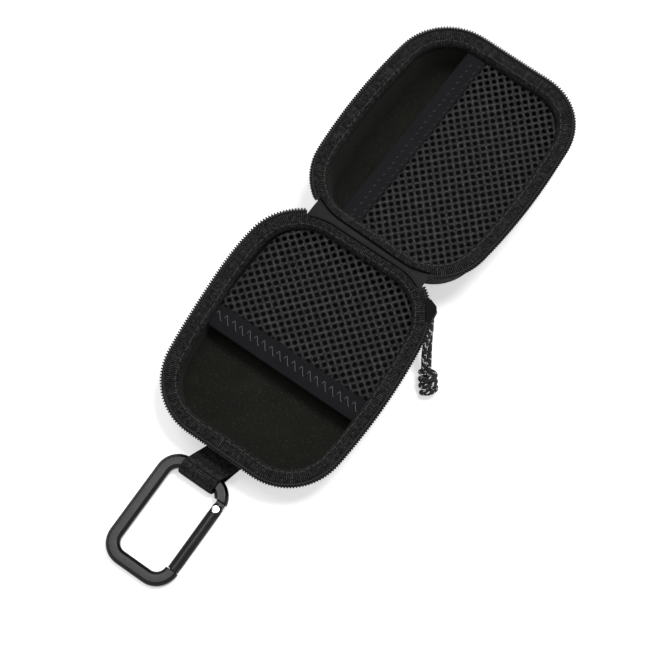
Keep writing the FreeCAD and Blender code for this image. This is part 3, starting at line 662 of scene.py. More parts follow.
def pressed_half(name, body, depth, outside, inside, material):
    """Closed shell between two tub profiles, with a flat face to close each floor."""
    half = halves[body]
    out_offsets, out_heights = tub_profile(depth, outside, forms[body])
    in_offsets, in_heights = tub_profile(depth, inside, forms[body])
    offsets = np.concatenate([out_offsets[::-1], in_offsets])
    heights = np.concatenate([out_heights[::-1], in_heights])
    solid = rim_surface(half_travel, offsets, heights, half.hinge_side)
    rows, columns = len(half_travel), len(offsets)
    faces, row, column = grid(rows, columns, True, False)
    along = np.append(half_travel, rim_length)
    across = run_of(np.stack([offsets, heights], -1))
    coords = np.stack([along[row], across[column]], -1)
    underside = [r * columns for r in range(rows)]
    floor = [r * columns + columns - 1 for r in range(rows)]
    caps = [underside[::-1], floor]
    if half.hinge_side > 0:
        faces, coords = faces[:, ::-1], coords[:, ::-1]
        caps = [underside, floor[::-1]]
    cap_coords = np.concatenate([solid[cap][:, :2] for cap in caps])
    coords = np.concatenate([coords.reshape(-1, 2), cap_coords])
    return new_piece(name, placed(solid, half.place), faces.tolist() + caps, material, body, coords)


for body, half in halves.items():
    shell = pressed_half(body + "_moulded_shell", body, half.depth, 0, shell_wall, shell_cloth)
    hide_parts(body + "_shell")
    felt = pressed_half(body + "_felt", body, half.depth - ply_gap, lining_out, lining_in, lining_felt)
    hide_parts(body + "_lining")
    print(body, "shell and lining faces", len(shell.data.polygons), len(felt.data.polygons))

# %% [markdown]
# ## Binding
# A ribbed tape is folded over each rim and sewn through. Its ribs run across the rim, so the
# profile breathes in and out along the route, with several rings for each rib. The tape is hand
# fed, so its height wanders a little and no two ribs are alike. It laps over the zip's tape, and
# along the hinge it is drawn in.

# %% Binding
rib_pitch = 0.79 * MM
rings_per_rib = 6
rib_height = 0.19 * MM
ribs = round(rim_length / rib_pitch)
binding_travel = np.linspace(0, rim_length, ribs * rings_per_rib, endpoint=False)
zip_start = corner_x + corner_radius * math.radians(30)


def wander(travel, seed, waves=(3, 5, 8, 13, 21)):
    """Slow closed wobble along the rim, between about -1 and 1."""
    rng = np.random.default_rng(seed)
    phase = rng.uniform(0, 2 * np.pi, len(waves))
    turns = 2 * np.pi * travel / rim_length
    return sum(np.sin(k * turns + p) for k, p in zip(waves, phase)) / len(waves)


def binding_profile():
    """Round the folded tape: offset, height, share of rib, of lap over the zip, of draw at the hinge."""
    outer = [(-0.05, 0.06, 0.0, 0, 1), (-0.05, 1.10, 0.3, 0, 1), (-0.04, 1.95, 0.4, 0, 1),
             (0, 2.16, 0.6, 1, 1), (0, 2.26, 0.9, 1, 1)]
    crown = [(-0.15, 2.37, 1, 0.85, 1), (-0.55, 2.46, 1, 0.6, 0.8), (-1.10, 2.50, 1, 0.3, 0.5),
             (-1.75, 2.46, 1, 0, 0.2), (-2.45, 2.30, 1, 0, 0), (-3.10, 2.02, 1, 0, 0), (-3.70, 1.60, 1, 0, 0),
             (-4.20, 1.05, 1, 0, 0), (-4.55, 0.40, 1, 0, 0)]
    skirt = [(-4.70, -0.30, 1, 0, 0), (-4.68, -1.20, 0.7, 0, 0), (-4.55, -1.90, 0.3, 0, 0),
             (-4.30, -2.00, 0, 0, 0), (-4.10, -1.90, 0, 0, 0), (-4.10, 0.06, 0, 0, 0)]
    return np.array(outer + crown + skirt) * np.array([MM, MM, 1, 1, 1])


profile = binding_profile()
rib_share = profile[None, :, 2]
zip_lap = 0.8 * MM
hinge_draw = 0.6 * MM
tape_slack = 0.12 * MM
lap_run = 3 * MM
fold_middle = np.array([-2.35 * MM, 0])
away = profile[:, :2] - fold_middle
away /= np.linalg.norm(away, axis=1)[:, None]
from_hinge = np.minimum(binding_travel, rim_length - binding_travel)
on_zip = np.clip((from_hinge - zip_start) / lap_run + 0.5, 0, 1)[:, None]
edge = on_zip * zip_lap * profile[None, :, 3] - (1 - on_zip) * hinge_draw * profile[None, :, 4]
turns = binding_travel / rim_length * ribs
for number, body in enumerate(halves):
    rng = np.random.default_rng(20 + number)
    strength = rng.uniform(0.6, 1.1, ribs)[np.floor(turns + 0.5).astype(int) % ribs]
    patches = 1 + 0.2 * wander(binding_travel, 30 + number, (97, 113, 131, 149))
    rib = (0.5 + 0.5 * np.cos(2 * np.pi * turns)) ** 1.8 * strength * patches
    lift = rib_height * (rib[:, None] - 0.4) * rib_share
    lift = lift + tape_slack * wander(binding_travel, 11 + number)[:, None] * rib_share
    offsets = profile[None, :, 0] + away[None, :, 0] * lift + edge
    heights = halves[body].depth + profile[None, :, 1] + away[None, :, 1] * lift
    # The rib mark on the tape's points paints a highlight on its ribs and shade in its grooves.
    tape = swept(body + "_ribbed_binding", body, binding_travel, offsets, heights, binding_cloth,
                 marks={"rib": rib[:, None] * rib_share})
    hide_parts(body + "_binding")
    print(body, "binding ribs", ribs, "faces", len(tape.data.polygons))

# %% [markdown]
# ## Thread
# Sewing shows as short raised stitches, each a bit of thread that comes up out of the cloth,
# lies over it and goes down again. One function makes an arched stitch between two points, and
# the rows of stitches further down are loops that call it.

# %% Stitches
stitch_rings = 7


def stitch(start, end, lift, radius):
    """Points and faces of one arched stitch; lift is the direction out of the cloth."""
    share = np.linspace(0, 1, stitch_rings)[:, None]
    arch = np.sqrt(np.sin(np.pi * share).clip(0)) * 1.9 - 0.9
    path = start + (end - start) * share + lift * arch * radius
    return tube(path, np.full(stitch_rings, radius), 6)


def rim_stitches(name, body, travels, length, offsets, heights, lean, radius):
    """Row of dark stitches along the rim; lean is how far their lift tips out of upright, in degrees."""
    half = halves[body]
    tip = math.radians(lean)
    parts = []
    for travel, offset, height in zip(travels, offsets, heights):
        points, normals = rim_at([travel - length / 2, travel + length / 2], half.hinge_side)
        ends = np.column_stack([points + normals * offset, [height, height]])
        lift = np.array([*(normals[0] * math.sin(tip)), math.cos(tip)])
        parts.append(stitch(ends[0], ends[1], lift, radius))
    points, faces = joined(parts)
    return new_piece(name, placed(points, half.place), faces, dark_thread, body)


binding_stitch_pitch = 2.9 * MM
binding_stitch_length = 1.9 * MM
binding_stitch_radius = 0.16 * MM
binding_stitch_lean = -35
stitch_line = -3.25 * MM
stitch_waver = 0.12 * MM
stitch_rise = 0.06 * MM
crown = profile[13:5:-1]
stitch_count = round(rim_length / binding_stitch_pitch)
travels = np.arange(stitch_count) * rim_length / stitch_count
for number, body in enumerate(halves):
    rng = np.random.default_rng(40 + number)
    offsets = stitch_line + rng.normal(0, stitch_waver, stitch_count)
    heights = halves[body].depth + np.interp(offsets, crown[:, 0], crown[:, 1]) + stitch_rise
    row = rim_stitches(body + "_binding_stitches", body, travels, binding_stitch_length, offsets, heights,
                       binding_stitch_lean, binding_stitch_radius)
    print(body, "binding stitches", stitch_count)

# %% [markdown]
# ## Zip
# The tape is sewn to the outside of the wall and turns out at the top to carry the teeth. The
# teeth are one nylon wire wound into a flat coil: each turn goes out over the tape, round the
# head of a tooth and back underneath, and only then moves on to the next. The wound path is a
# formula, slowed at the head so that the two legs of a tooth lie one over the other.

# %% Zip tapes
tape_travel = np.linspace(zip_start, rim_length - zip_start, 300)
tape_profile = np.array([
    (0.55, -4.0), (0.57, -1.5), (0.60, 0.9), (0.72, 1.4), (1.10, 1.62), (2.28, 1.66), (2.42, 1.86),
    (2.28, 2.08), (0.95, 2.10), (0.42, 2.02), (0.12, 1.70), (0.06, 0.90), (0.05, -1.5), (0.05, -4.0)]) * MM
tape_stitch_pitch = 3.0 * MM
tape_stitch_length = 2.1 * MM
tape_stitch_radius = 0.15 * MM
tape_stitch_lean = 90
tape_face = 0.58 * MM
tape_seam = 2.9 * MM
seam_start = zip_start + tape_stitch_pitch
travels = np.arange(seam_start, rim_length - seam_start, tape_stitch_pitch)
seam_offsets = np.full(len(travels), tape_face)
for body, half in halves.items():
    tape = swept(body + "_woven_zip_tape", body, tape_travel, tape_profile[:, 0],
                 half.depth + tape_profile[:, 1], tape_cloth, closed=False)
    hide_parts(body + "_zip_tape")
    seam_heights = np.full(len(travels), half.depth - tape_seam)
    row = rim_stitches(body + "_tape_stitches", body, travels, tape_stitch_length, seam_offsets, seam_heights,
                       tape_stitch_lean, tape_stitch_radius)
    print(body, "tape stitches", len(travels))

# %% Zip teeth
tooth_pitch = 1.07 * MM
tooth_half = 0.68 * MM
teeth_out = {"base": 1.80 * MM, "lid": 1.92 * MM}
teeth_shift = {"base": 0.5 * tooth_pitch, "lid": 0.0}
coil_height = 2.60 * MM
coil_half = 0.24 * MM
wire_radius = 0.30 * MM
head_swell = 0.06 * MM
sewing_inset = 0.42 * MM
sewing_height = 3.08 * MM
sewing_radius = 0.10 * MM
steps_per_tooth = 14
sewing_steps = 4


def zip_teeth(body):
    """Wound wire of one row, and the sewing thread that holds it to the tape."""
    half = halves[body]
    start = zip_start + teeth_shift[body]
    teeth = int((rim_length - zip_start - start) / tooth_pitch)
    turn = np.arange(teeth * steps_per_tooth) / steps_per_tooth
    phase = 2 * np.pi * (turn % 1.0) - np.pi
    along = np.floor(turn) + 0.5 + (phase - 0.8 * np.sin(phase)) / (2 * np.pi)
    points, normals = rim_at(start + along * tooth_pitch, half.hinge_side)
    offsets = teeth_out[body] + tooth_half * squared(np.cos(phase), 0.6)
    heights = half.depth + coil_height - coil_half * squared(np.sin(phase), 0.6)
    path = np.column_stack([points + normals * offsets[:, None], heights])
    wire = tube(path, wire_radius + head_swell * np.cos(phase).clip(0) ** 3, 6)
    sewn = np.arange(teeth * sewing_steps) / sewing_steps
    points, normals = rim_at(start + sewn * tooth_pitch, half.hinge_side)
    heights = half.depth + sewing_height + head_swell * np.cos(2 * np.pi * (sewn - 0.5))
    path = np.column_stack([points + normals * (teeth_out[body] - sewing_inset), heights])
    return teeth, wire, tube(path, np.full(len(path), sewing_radius), 5)


for body, half in halves.items():
    teeth, wire, sewing = zip_teeth(body)
    coil = new_piece(body + "_zip_coil", placed(wire[0], half.place), wire[1], zip_nylon, body)
    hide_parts(body + "_zip_row")
    seam = new_piece(body + "_zip_sewing", placed(sewing[0], half.place), sewing[1], dark_thread, body)
    print(body, "teeth", teeth, "faces", len(coil.data.polygons))

# %% [markdown]
# ## Pocket nets
# The pockets are knitted net: round holes in a square lattice turned by 45 degrees. Each hole is
# a cell, a small diamond with a round opening, and neighbouring cells share the points on their
# edges, so the net is one real sheet with real holes. Its strands are thicker in the middle, and a
# mark on each point paints a highlight along the strands' tops, fading towards the holes, with
# painted shade underneath. At its edge the net is drawn in under the binding, and it dips under
# the elastic band.

# %% Net helpers
sewn_offset = -4.12 * MM
edge_spare = 1.3 * MM
net_hole = 0.9 * MM
net_tuck = 0.9 * MM
net_drop = 2.4 * MM
net_sag = 0.7 * MM
sag_run = 25 * MM
net_ripple = 0.18 * MM
strand_half = 0.26 * MM
dip_run = 2.4 * MM
dip_depth = 1.3 * MM
cell_sides = 12


def net_cell(half_x, half_y):
    """One cell about its hole: points as x, y, height share and ridge mark, ring by ring."""
    corners = np.array([(half_x, 0), (0, half_y), (-half_x, 0), (0, -half_y)])
    per_edge = cell_sides // 4
    share = np.arange(per_edge)[:, None] / per_edge
    edge = np.concatenate([corners[k] + (corners[(k + 1) % 4] - corners[k]) * share for k in range(4)])
    angle = 2 * np.pi * np.arange(cell_sides) / cell_sides
    circle = np.stack([np.cos(angle), np.sin(angle)], -1) * net_hole
    # The last number of each ring is its share of painted highlight: full on the strand's top, none in the
    # hole or underneath.
    rings = [(edge, 0.9, 1.0), (edge * 0.45 + circle * 0.6, 0.75, 0.5), (circle * 1.05, 0.4, 0.12),
             (circle, 0.0, 0.0), (circle * 1.05, -0.45, 0.0), (edge, -0.8, 0.0)]
    return np.concatenate([np.column_stack([ring, np.full(cell_sides, high), np.full(cell_sides, ridge_highlight)])
                           for ring, high, ridge_highlight in rings]), len(rings)


def net_lattice(half_x, half_y, turn, mouth_axis, tucked):
    """Cells of the net that lie inside the rim: flat points, height shares, ridge marks, faces, cells."""
    cell, rings = net_cell(half_x, half_y)
    span = int(half_length / min(half_x, half_y)) + 8
    i, j = np.meshgrid(np.arange(-span, span), np.arange(-span, span), indexing="ij")
    keep = (i + j) % 2 == 0
    cos, sin = math.cos(turn), math.sin(turn)
    rotate = np.array([[cos, sin], [-sin, cos]])
    centres = np.stack([i[keep] * half_x, j[keep] * half_y], -1) @ rotate
    distance = rim_distance(centres)[0]
    centres = centres[(distance < sewn_offset + edge_spare) & (centres[:, mouth_axis] > tucked)]
    flat = (centres[:, None, :] + (cell[:, :2] @ rotate)[None]).reshape(-1, 2)
    high = np.tile(cell[:, 2], len(centres))
    ridge_highlight = np.tile(cell[:, 3], len(centres))
    faces = grid(rings, cell_sides, False, True)[0]
    starts = np.arange(len(centres)) * len(cell)
    faces = (faces[None] + starts[:, None, None]).reshape(-1, 4)
    keys = np.round(np.column_stack([flat / MM * 200 + 0.37, high * 100]))
    first, back = np.unique(keys, axis=0, return_index=True, return_inverse=True)[1:]
    return flat[first], high[first], ridge_highlight[first], back.reshape(-1)[faces], len(centres)


def net_sheet(name, body, half_x, half_y, turn, mouth_axis, mouth):
    """Net inside the rim, from its mouth at the band to the rim all round."""
    half = halves[body]
    tucked = mouth - net_tuck
    flat, high, ridge_highlight, faces, cells = net_lattice(half_x, half_y, turn, mouth_axis, tucked)
    for repeat in range(3):
        distance, outward = rim_distance(flat)
        flat = flat - outward * (distance - sewn_offset).clip(0)[:, None]
    flat[:, mouth_axis] = np.maximum(flat[:, mouth_axis], tucked)
    dip = 1 - np.clip((flat[:, mouth_axis] - tucked) / dip_run, 0, 1)
    inside = np.clip((sewn_offset - rim_distance(flat)[0]) / sag_run, 0, 1)
    sag = net_sag * inside * (2 - inside)
    wave = net_ripple * np.sin(flat[:, 0] * 210) * np.sin(flat[:, 1] * 170) * inside
    heights = half.depth - net_drop + high * strand_half - dip ** 2 * dip_depth - sag + wave
    rng = np.random.default_rng(7)
    # Painted highlight on the strand tops, varied at random from point to point.
    marks = (ridge_highlight * rng.uniform(0.3, 1.3, len(ridge_highlight))).clip(0, 1)
    solid = placed(np.column_stack([flat, heights]), half.place)
    sheet = new_piece(name, solid, faces.tolist(), net_mesh, body, marks={"ridge_highlight": marks})
    sheet.data.validate()
    return sheet, cells


# %% Nets
base_band_low, base_mouth = (corner.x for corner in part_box("base_pocket_band"))
lid_band_low = -half_length + 37.2 * MM
lid_band_width = 9.6 * MM
lid_mouth = lid_band_low + lid_band_width
nets = {
    "base": (1.93 * MM, 2.08 * MM, 0.0, 0, base_mouth),
    "lid": (2.08 * MM, 1.90 * MM, math.radians(4.5), 1, lid_mouth),
}
for body, (half_x, half_y, turn, axis, mouth) in nets.items():
    sheet, holes = net_sheet(body + "_knitted_net", body, half_x, half_y, turn, axis, mouth)
    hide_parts(body + "_pocket_net")
    print(body, "net holes", holes, "faces", len(sheet.data.polygons))

# %% [markdown]
# ## Elastic bands
# Each pocket's mouth is edged with a flat elastic band, sewn to the net with a zigzag and held
# at its ends under the binding. A band is a grid: a soft rectangular profile carried from rim to
# rim, whose ends follow the rim. On the lid the zigzag is a pale thread. On the deep half only
# the crests of a dark thread show.

# %% Bands
band_drop = 2.7 * MM
band_half = 0.56 * MM
band_sag = 0.55 * MM
ripple_height = 0.05 * MM
ripple_length = 3.2 * MM
straight_up = np.array([0, 0, 1.0])


def rim_reach(across, along_axis):
    """How far the sewn edge lies along one axis, at given places across it."""
    low, high = np.zeros(len(across)), np.full(len(across), half_length + half_width)
    for step in range(40):
        middle = (low + high) / 2
        spots = np.stack([middle, across] if along_axis == 0 else [across, middle], -1)
        inside = rim_distance(spots)[0] < sewn_offset
        low, high = np.where(inside, middle, low), np.where(inside, high, middle)
    return low


def band_points(body, shares, sides, lifts):
    """Points on a band: shares run rim to rim from -1 to 1, sides across its width from 0 to 1."""
    low, width, along_axis = bands[body]
    across = low + width * sides
    along = rim_reach(across, along_axis) * shares
    ripple = ripple_height * np.sin(along / ripple_length * 2 * np.pi) * sides
    heights = halves[body].depth - band_drop + lifts - band_sag * (1 - shares ** 2) + ripple
    flat = [along, across, heights] if along_axis == 0 else [across, along, heights]
    return np.stack(flat, -1)


def elastic_band(name, body):
    """Soft rectangular profile carried from rim to rim."""
    width = bands[body][1]
    turn = np.radians(np.arange(0, 360, 15))
    sides = 0.5 + 0.5 * squared(np.cos(turn), 0.28)
    lifts = band_half * squared(np.sin(turn), 0.5)
    shares = np.linspace(-1, 1, 90)
    rows, columns = len(shares), len(turn)
    points = band_points(body, np.repeat(shares, columns), np.tile(sides, rows), np.tile(lifts, rows))
    rings = placed(points, halves[body].place).reshape(rows, columns, 3)
    girth = run_of(np.stack([sides * width, lifts], -1))
    girth = np.append(girth, girth[-1] + 0.2 * MM)
    return ring_piece(name, rings, shares * half_width, girth, band_cloth, body)


bands = {
    "base": (base_band_low, base_mouth - base_band_low, 1),
    "lid": (lid_band_low, lid_band_width, 0),
}
for body in bands:
    band = elastic_band(body + "_elastic_band", body)
    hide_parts(body + "_pocket_band")
    print(body, "band faces", len(band.data.polygons))

# %% Zigzag on the lid's band
zigzag_pitch = 3.2 * MM
zigzag_reach = 0.97
zigzag_radius = 0.13 * MM
band_length = 2 * float(rim_reach(np.array([lid_band_low]), 0)[0])
strokes = int(band_length / zigzag_pitch) - 2
# One stroke: share of its pitch, share of the band's width and share of its lift.
stroke_shape = [
    (0.00, 0.62, -0.2), (0.05, 0.69, 0.5), (0.10, 0.72, 0.7), (0.20, 0.69, 0.75), (0.36, 0.60, 0.75),
    (0.55, 0.50, 0.75), (0.72, 0.43, 0.65), (0.80, 0.40, 0.35), (0.86, 0.41, -0.5), (0.93, 0.50, -0.9)]
rng = np.random.default_rng(5)
shares, sides, lifts = [], [], []
for number in range(strokes):
    jitter = rng.normal(0, 0.03, 2)
    for along, side, lift in stroke_shape:
        shares.append(((number + along + jitter[0]) / strokes * 2 - 1) * zigzag_reach)
        sides.append(side + jitter[1] * (side - 0.4))
        lifts.append((0.55 + 0.2 * lift) * MM)
path = band_points("lid", np.array(shares), np.array(sides), np.array(lifts))
points, faces = tube(path, np.full(len(path), zigzag_radius), 6)
zigzag = new_piece("lid_band_zigzag", placed(points, lid_place), faces, grey_thread, "lid")
print("zigzag strokes", strokes)

# %% Stitch crests on the deep half's band
crest_pitch = 3.0 * MM
crest_reach = 0.96
crest_lift = np.full(2, 0.57 * MM)
crests_in_row = int(2 * (half_length + sewn_offset) / crest_pitch) - 2
# Each row: its place across the band, its start as a share of the pitch, and its thread's radius.
crest_rows = [(0.50, 0.0, 0.13 * MM), (0.88, 0.5, 0.09 * MM)]
# Each leg: its ends as millimetres along the band and shares of the band's width.
crest_legs = [((-0.55, -0.03), (0.25, -0.02)), ((0.2, -0.03), (0.5, 0.04))]
parts = []
rng = np.random.default_rng(6)
for place_across, start, radius in crest_rows:
    for number in range(crests_in_row):
        share = ((number + start + rng.normal(0, 0.06)) / crests_in_row * 2 - 1) * crest_reach
        side = place_across + rng.normal(0, 0.015)
        for leg in crest_legs:
            shares = share + np.array([spot[0] for spot in leg]) * MM / half_length
            sides = side + np.array([spot[1] for spot in leg])
            ends = band_points("base", shares, sides, crest_lift)
            parts.append(stitch(ends[0], ends[1], straight_up, radius))
points, faces = joined(parts)
crests = new_piece("base_band_stitches", points, faces, dark_thread, "base")
print("stitch crests", len(crest_rows) * crests_in_row)

# %% [markdown]
# ## Hinge
# A strip of cover cloth joins the halves' back walls and lets the lid turn. It lies close on each
# wall and crosses the gap between the bindings. When the lid shuts, the crossing becomes part of
# the case's back. The strip is made where the lid lies open and is carried by neither body.

# %% Hinge strip
hinge_wall = np.array([(0.46, -3.6), (0.48, -2.0), (0.50, -0.6), (0.42, 0.45), (0.00, 1.20)]) * MM
strip_thickness = 0.5 * MM
strip_arch = 0.5 * MM
strip_reach = zip_start + 0.5 * MM
strip_travel = np.linspace(-strip_reach, strip_reach, 61)


def hinge_section(travel):
    """Cloth from the deep half's wall to the lid's at one place along the hinge."""
    sides = []
    for body, half in halves.items():
        points, normals = rim_at([travel], half.hinge_side)
        drafted = hinge_wall[:, 0] + math.tan(forms[body][0]) * np.minimum(hinge_wall[:, 1], 0)
        flat = points[0] + normals[0] * drafted[:, None]
        sides.append(placed(np.column_stack([flat, half.depth + hinge_wall[:, 1]]), half.place))
    share = np.linspace(0, 1, 11)[1:-1, None]
    start, end = sides[0][-1], sides[1][-1]
    crossing = start + (end - start) * share
    crossing[:, 2] += strip_arch * np.sin(np.pi * share[:, 0])
    return np.concatenate([sides[0], crossing, sides[1][::-1]])


sections = np.array([hinge_section(travel) for travel in strip_travel])
rows, columns = sections.shape[:2]
out = np.cross(np.gradient(sections, axis=0), np.gradient(sections, axis=1))
out /= np.linalg.norm(out, axis=2)[:, :, None]
out *= np.sign(out[rows // 2, columns // 2, 2])
both = np.concatenate([sections, (sections - out * strip_thickness)[:, ::-1]], 1)
girth = run_of(both[rows // 2])
girth = np.append(girth, girth[-1] + strip_thickness)
strip = ring_piece("hinge_cloth_strip", both, strip_travel, girth, hinge_cloth, None)
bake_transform(strip)
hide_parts("hinge_strip")

# %% [markdown]
# ## Webbing loop
# A ribbed strap is sewn to the lid's front wall, goes down under the carabiner's top bar, round
# it and back, so that it lies double. Its path is drawn in the upright plane through the middle
# of the strap: the wall's line, a knee, straight runs to the bar and an arc round the bar. The
# strap's ribs run across its width and are real waves in its thickness.

# %% Webbing's path
clip_swing = joints["carabiner_swing"]
bar_centre = np.array(clip_swing["pos_m"])
strap_across = np.array(clip_swing["axis"])
strap_inward = np.cross([0, 0, 1.0], strap_across)
strap_width = 16 * MM
strap_thickness = 1.1 * MM
strap_top = 12.7 * MM
strap_low = 7.9 * MM
strap_step = 0.16 * MM
floor_clearance = 0.15 * MM
eye = np.array([0, bar_centre[2]])
loop_radius = bar_centre[2] - floor_clearance - strap_thickness / 2
inner_out = 0.1 * MM + strap_thickness / 2
outer_out = inner_out + strap_thickness * 1.02


def wall_spot(height, out):
    """Point off the lid's front wall, as distance inward of the bar and height."""
    offset = out - math.tan(lid_draft) * (lid_depth - height)
    spot = placed(np.array([[0, -half_length - offset, height]]), lid_place)[0]
    return np.array([(spot - bar_centre) @ strap_inward, spot[2]])


def tangent_angle(spot, side):
    """Angle on the loop where a line from the spot touches it; side is 1 over the bar, -1 under."""
    away = spot - eye
    return math.atan2(away[1], away[0]) + side * math.acos(loop_radius / np.linalg.norm(away))


under_knee = wall_spot(strap_low - 0.8 * MM, inner_out)
over_knee = wall_spot(strap_low + 0.4 * MM, outer_out)
angle = np.linspace(tangent_angle(under_knee, -1), tangent_angle(over_knee, 1) - 2 * np.pi, 60)
route = np.concatenate([
    [wall_spot(strap_top, inner_out), wall_spot(strap_low, inner_out), under_knee],
    eye + loop_radius * np.stack([np.cos(angle), np.sin(angle)], -1),
    [over_knee, wall_spot(strap_low + 1.4 * MM, outer_out), wall_spot(strap_top, outer_out)]])
path, places = even_path(route, strap_step)
for smoothing in range(12):
    path[1:-1] = (path[:-2] + 2 * path[1:-1] + path[2:]) / 4
print("webbing length mm", round(places[-1] / MM, 1))

# %% Webbing
strap_rib = 0.75 * MM
strap_drift = 3.8 * MM
step = np.gradient(path, axis=0)
normal = np.stack([-step[:, 1], step[:, 0]], -1) / np.linalg.norm(step, axis=1)[:, None]
rib_turns = places / strap_rib
rng = np.random.default_rng(9)
strength = rng.uniform(0.4, 1.2, int(rib_turns[-1]) + 2)[np.floor(rib_turns + 0.5).astype(int)]
wave = (0.5 + 0.5 * np.cos(2 * np.pi * rib_turns)) * strength
drift = strap_drift * np.clip(path[:, 0] / over_knee[0], 0, 1)
turn = np.radians(np.arange(0, 360, 7.5))
sides = squared(np.cos(turn), 0.25)
thick = (strap_thickness / 2) * (0.80 + 0.18 * wave[:, None]) * squared(np.sin(turn), 0.5)[None]
plane = path[:, None, :] + normal[:, None, :] * thick[:, :, None]
across = sides[None] * strap_width / 2 + drift[:, None]
origin = np.array([bar_centre[0], bar_centre[1], 0])
rings = (origin + across[:, :, None] * strap_across + plane[:, :, :1] * strap_inward
         + plane[:, :, 1:] * np.array([0, 0, 1.0]))
girth = np.cumsum(np.abs(np.gradient(sides))) * strap_width / 2
girth = np.append(girth, girth[-1])
# The rib mark paints a highlight on the strap's rib crests and shade between them.
strap = ring_piece("ribbed_webbing", rings, places, girth, webbing_cloth, "lid",
                   {"rib": np.repeat(wave, len(turn))})
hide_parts("webbing_loop")
print("webbing faces", len(strap.data.polygons))

# %% [markdown]
# ## Cord pull
# The zip's pull is a thin braided cord, doubled through the slider's bail and tied in a barrel
# knot. The route's points are given as distance to the side, distance from the bail and lift, in
# millimetres. Near the bail they keep to the solid cord's route, and further out they are set a
# little apart to follow the photograph. They become the control points of a smooth spline, and a
# braided tube follows the spline. The braid's strands cross in two directions, so the tube's
# radius rises and falls on two families of spirals, and a few strands are white.

# %% Cord's route
swing = joints["pull_swing"]
bail = np.array(swing["pos_m"])
pull_side = np.array(swing["axis"])
knot_low, knot_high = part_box("pull_knot")
towards = (np.array(knot_low) + np.array(knot_high)) / 2 - bail
towards -= pull_side * (towards @ pull_side)
pull_along = towards / np.linalg.norm(towards)
pull_lift = np.cross(pull_along, pull_side)
cord_route = [(-4.3, 25.2, 0), (-3.95, 16.5, 0.3), (-2.7, 11, 1.1), (-0.6, 4.6, 2.2), (0, -1.9, 2.2),
              (0, -1.9, -2.2), (-0.3, 4.6, -2.2), (-1.3, 11, -1.05), (-1.8, 16.5, -0.3), (-2.4, 24, 0),
              (-2.8, 34.4, 0)]


def smooth_line(name, points):
    """Points along a smooth spline with the given control points."""
    curve = bpy.data.curves.new(name, "CURVE")
    curve.dimensions = "3D"
    curve.resolution_u = 24
    spline = curve.splines.new("NURBS")
    spline.points.add(len(points) - 1)
    for spot, point in zip(spline.points, points):
        spot.co = (*point, 1)
    spline.order_u = 3
    spline.use_endpoint_u = True
    holder = bpy.data.objects.new(name, curve)
    bpy.context.scene.collection.objects.link(holder)
    bpy.context.view_layer.update()
    mesh = bpy.data.meshes.new_from_object(holder.evaluated_get(bpy.context.evaluated_depsgraph_get()))
    line = np.array([vertex.co[:] for vertex in mesh.vertices])
    bpy.data.objects.remove(holder)
    return line


control = [bail + (pull_side * sideways + pull_along * along + pull_lift * lift) * MM
           for sideways, along, lift in cord_route]
cord_line = smooth_line("cord_line", control)
print("cord line points", len(cord_line))

# %% Braided cord
cord_diameter = 2.2 * MM
braid_plaits = 5
braid_lay = 1.8 * MM
braid_sides = 64
braid_step = 0.14 * MM
white_share = 0.6
fleck_width = 0.45


def braided(path, places, seed):
    """Braided tube on a path of even steps: points, faces and the mark of its white strands."""
    angle = 2 * np.pi * np.arange(braid_sides) / braid_sides
    along = 2 * np.pi * places[:, None] / braid_lay
    left = braid_plaits * angle[None] + along
    right = braid_plaits * angle[None] - along
    over = np.sin(left / 2) * np.sin(right / 2)
    strand = np.where(over > 0, np.abs(np.cos(left / 2)), np.abs(np.cos(right / 2)))
    radii = cord_diameter / 2 * (0.90 + 0.13 * strand)
    ends = np.clip(np.minimum(places, places[-1] - places) / (0.5 * cord_diameter), 0.05, 1)
    radii = radii * np.sqrt(ends * (2 - ends))[:, None]
    rng = np.random.default_rng(seed)
    carried = rng.uniform(0, 1, 64) < white_share
    number = np.floor((left + np.pi) / (2 * np.pi)).astype(int)
    plait = np.floor(places[:, None] / braid_lay * 2).astype(int) + 0 * number
    white = (over > 0) & (number % 2 == 1) & carried[(plait * 7 + number * 3) % len(carried)]
    points, faces = tube(path, radii, braid_sides)
    return points, faces, (white & (strand > fleck_width)).astype(float)


cord_path, cord_places = even_path(cord_line, braid_step)
points, faces, white = braided(cord_path, cord_places, 3)
cord = new_piece("braided_pull_cord", points, faces, pull_braid, "pull", marks={"fleck": white})
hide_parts("pull_cord")

# %% Knot
knot_start = 24.4 * MM
knot_turns = 3
knot_pitch = 2.75 * MM
knot_radius = 2.9 * MM
steps_per_turn = 40
knot_axis = bail + pull_side * cord_route[-1][0] * MM
turn = np.linspace(0, 2 * np.pi * knot_turns, steps_per_turn * knot_turns)
helix = (knot_axis + pull_along * (knot_start + knot_pitch * turn[:, None] / (2 * np.pi))
         - knot_radius * (pull_side * np.cos(turn)[:, None] + pull_lift * np.sin(turn)[:, None]))
points, faces, white = braided(*even_path(helix, braid_step), 4)
knot = new_piece("braided_barrel_knot", points, faces, pull_braid, "pull", marks={"fleck": white})
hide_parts("pull_knot")
print("knot faces", len(knot.data.polygons))

# %% [markdown]
# ## Metal pieces
# The slider, the carabiner, its gate and the small parts inside it have their real shape in the
# frame already, so they stay, with a fine bevel that catches the light and their own metals.

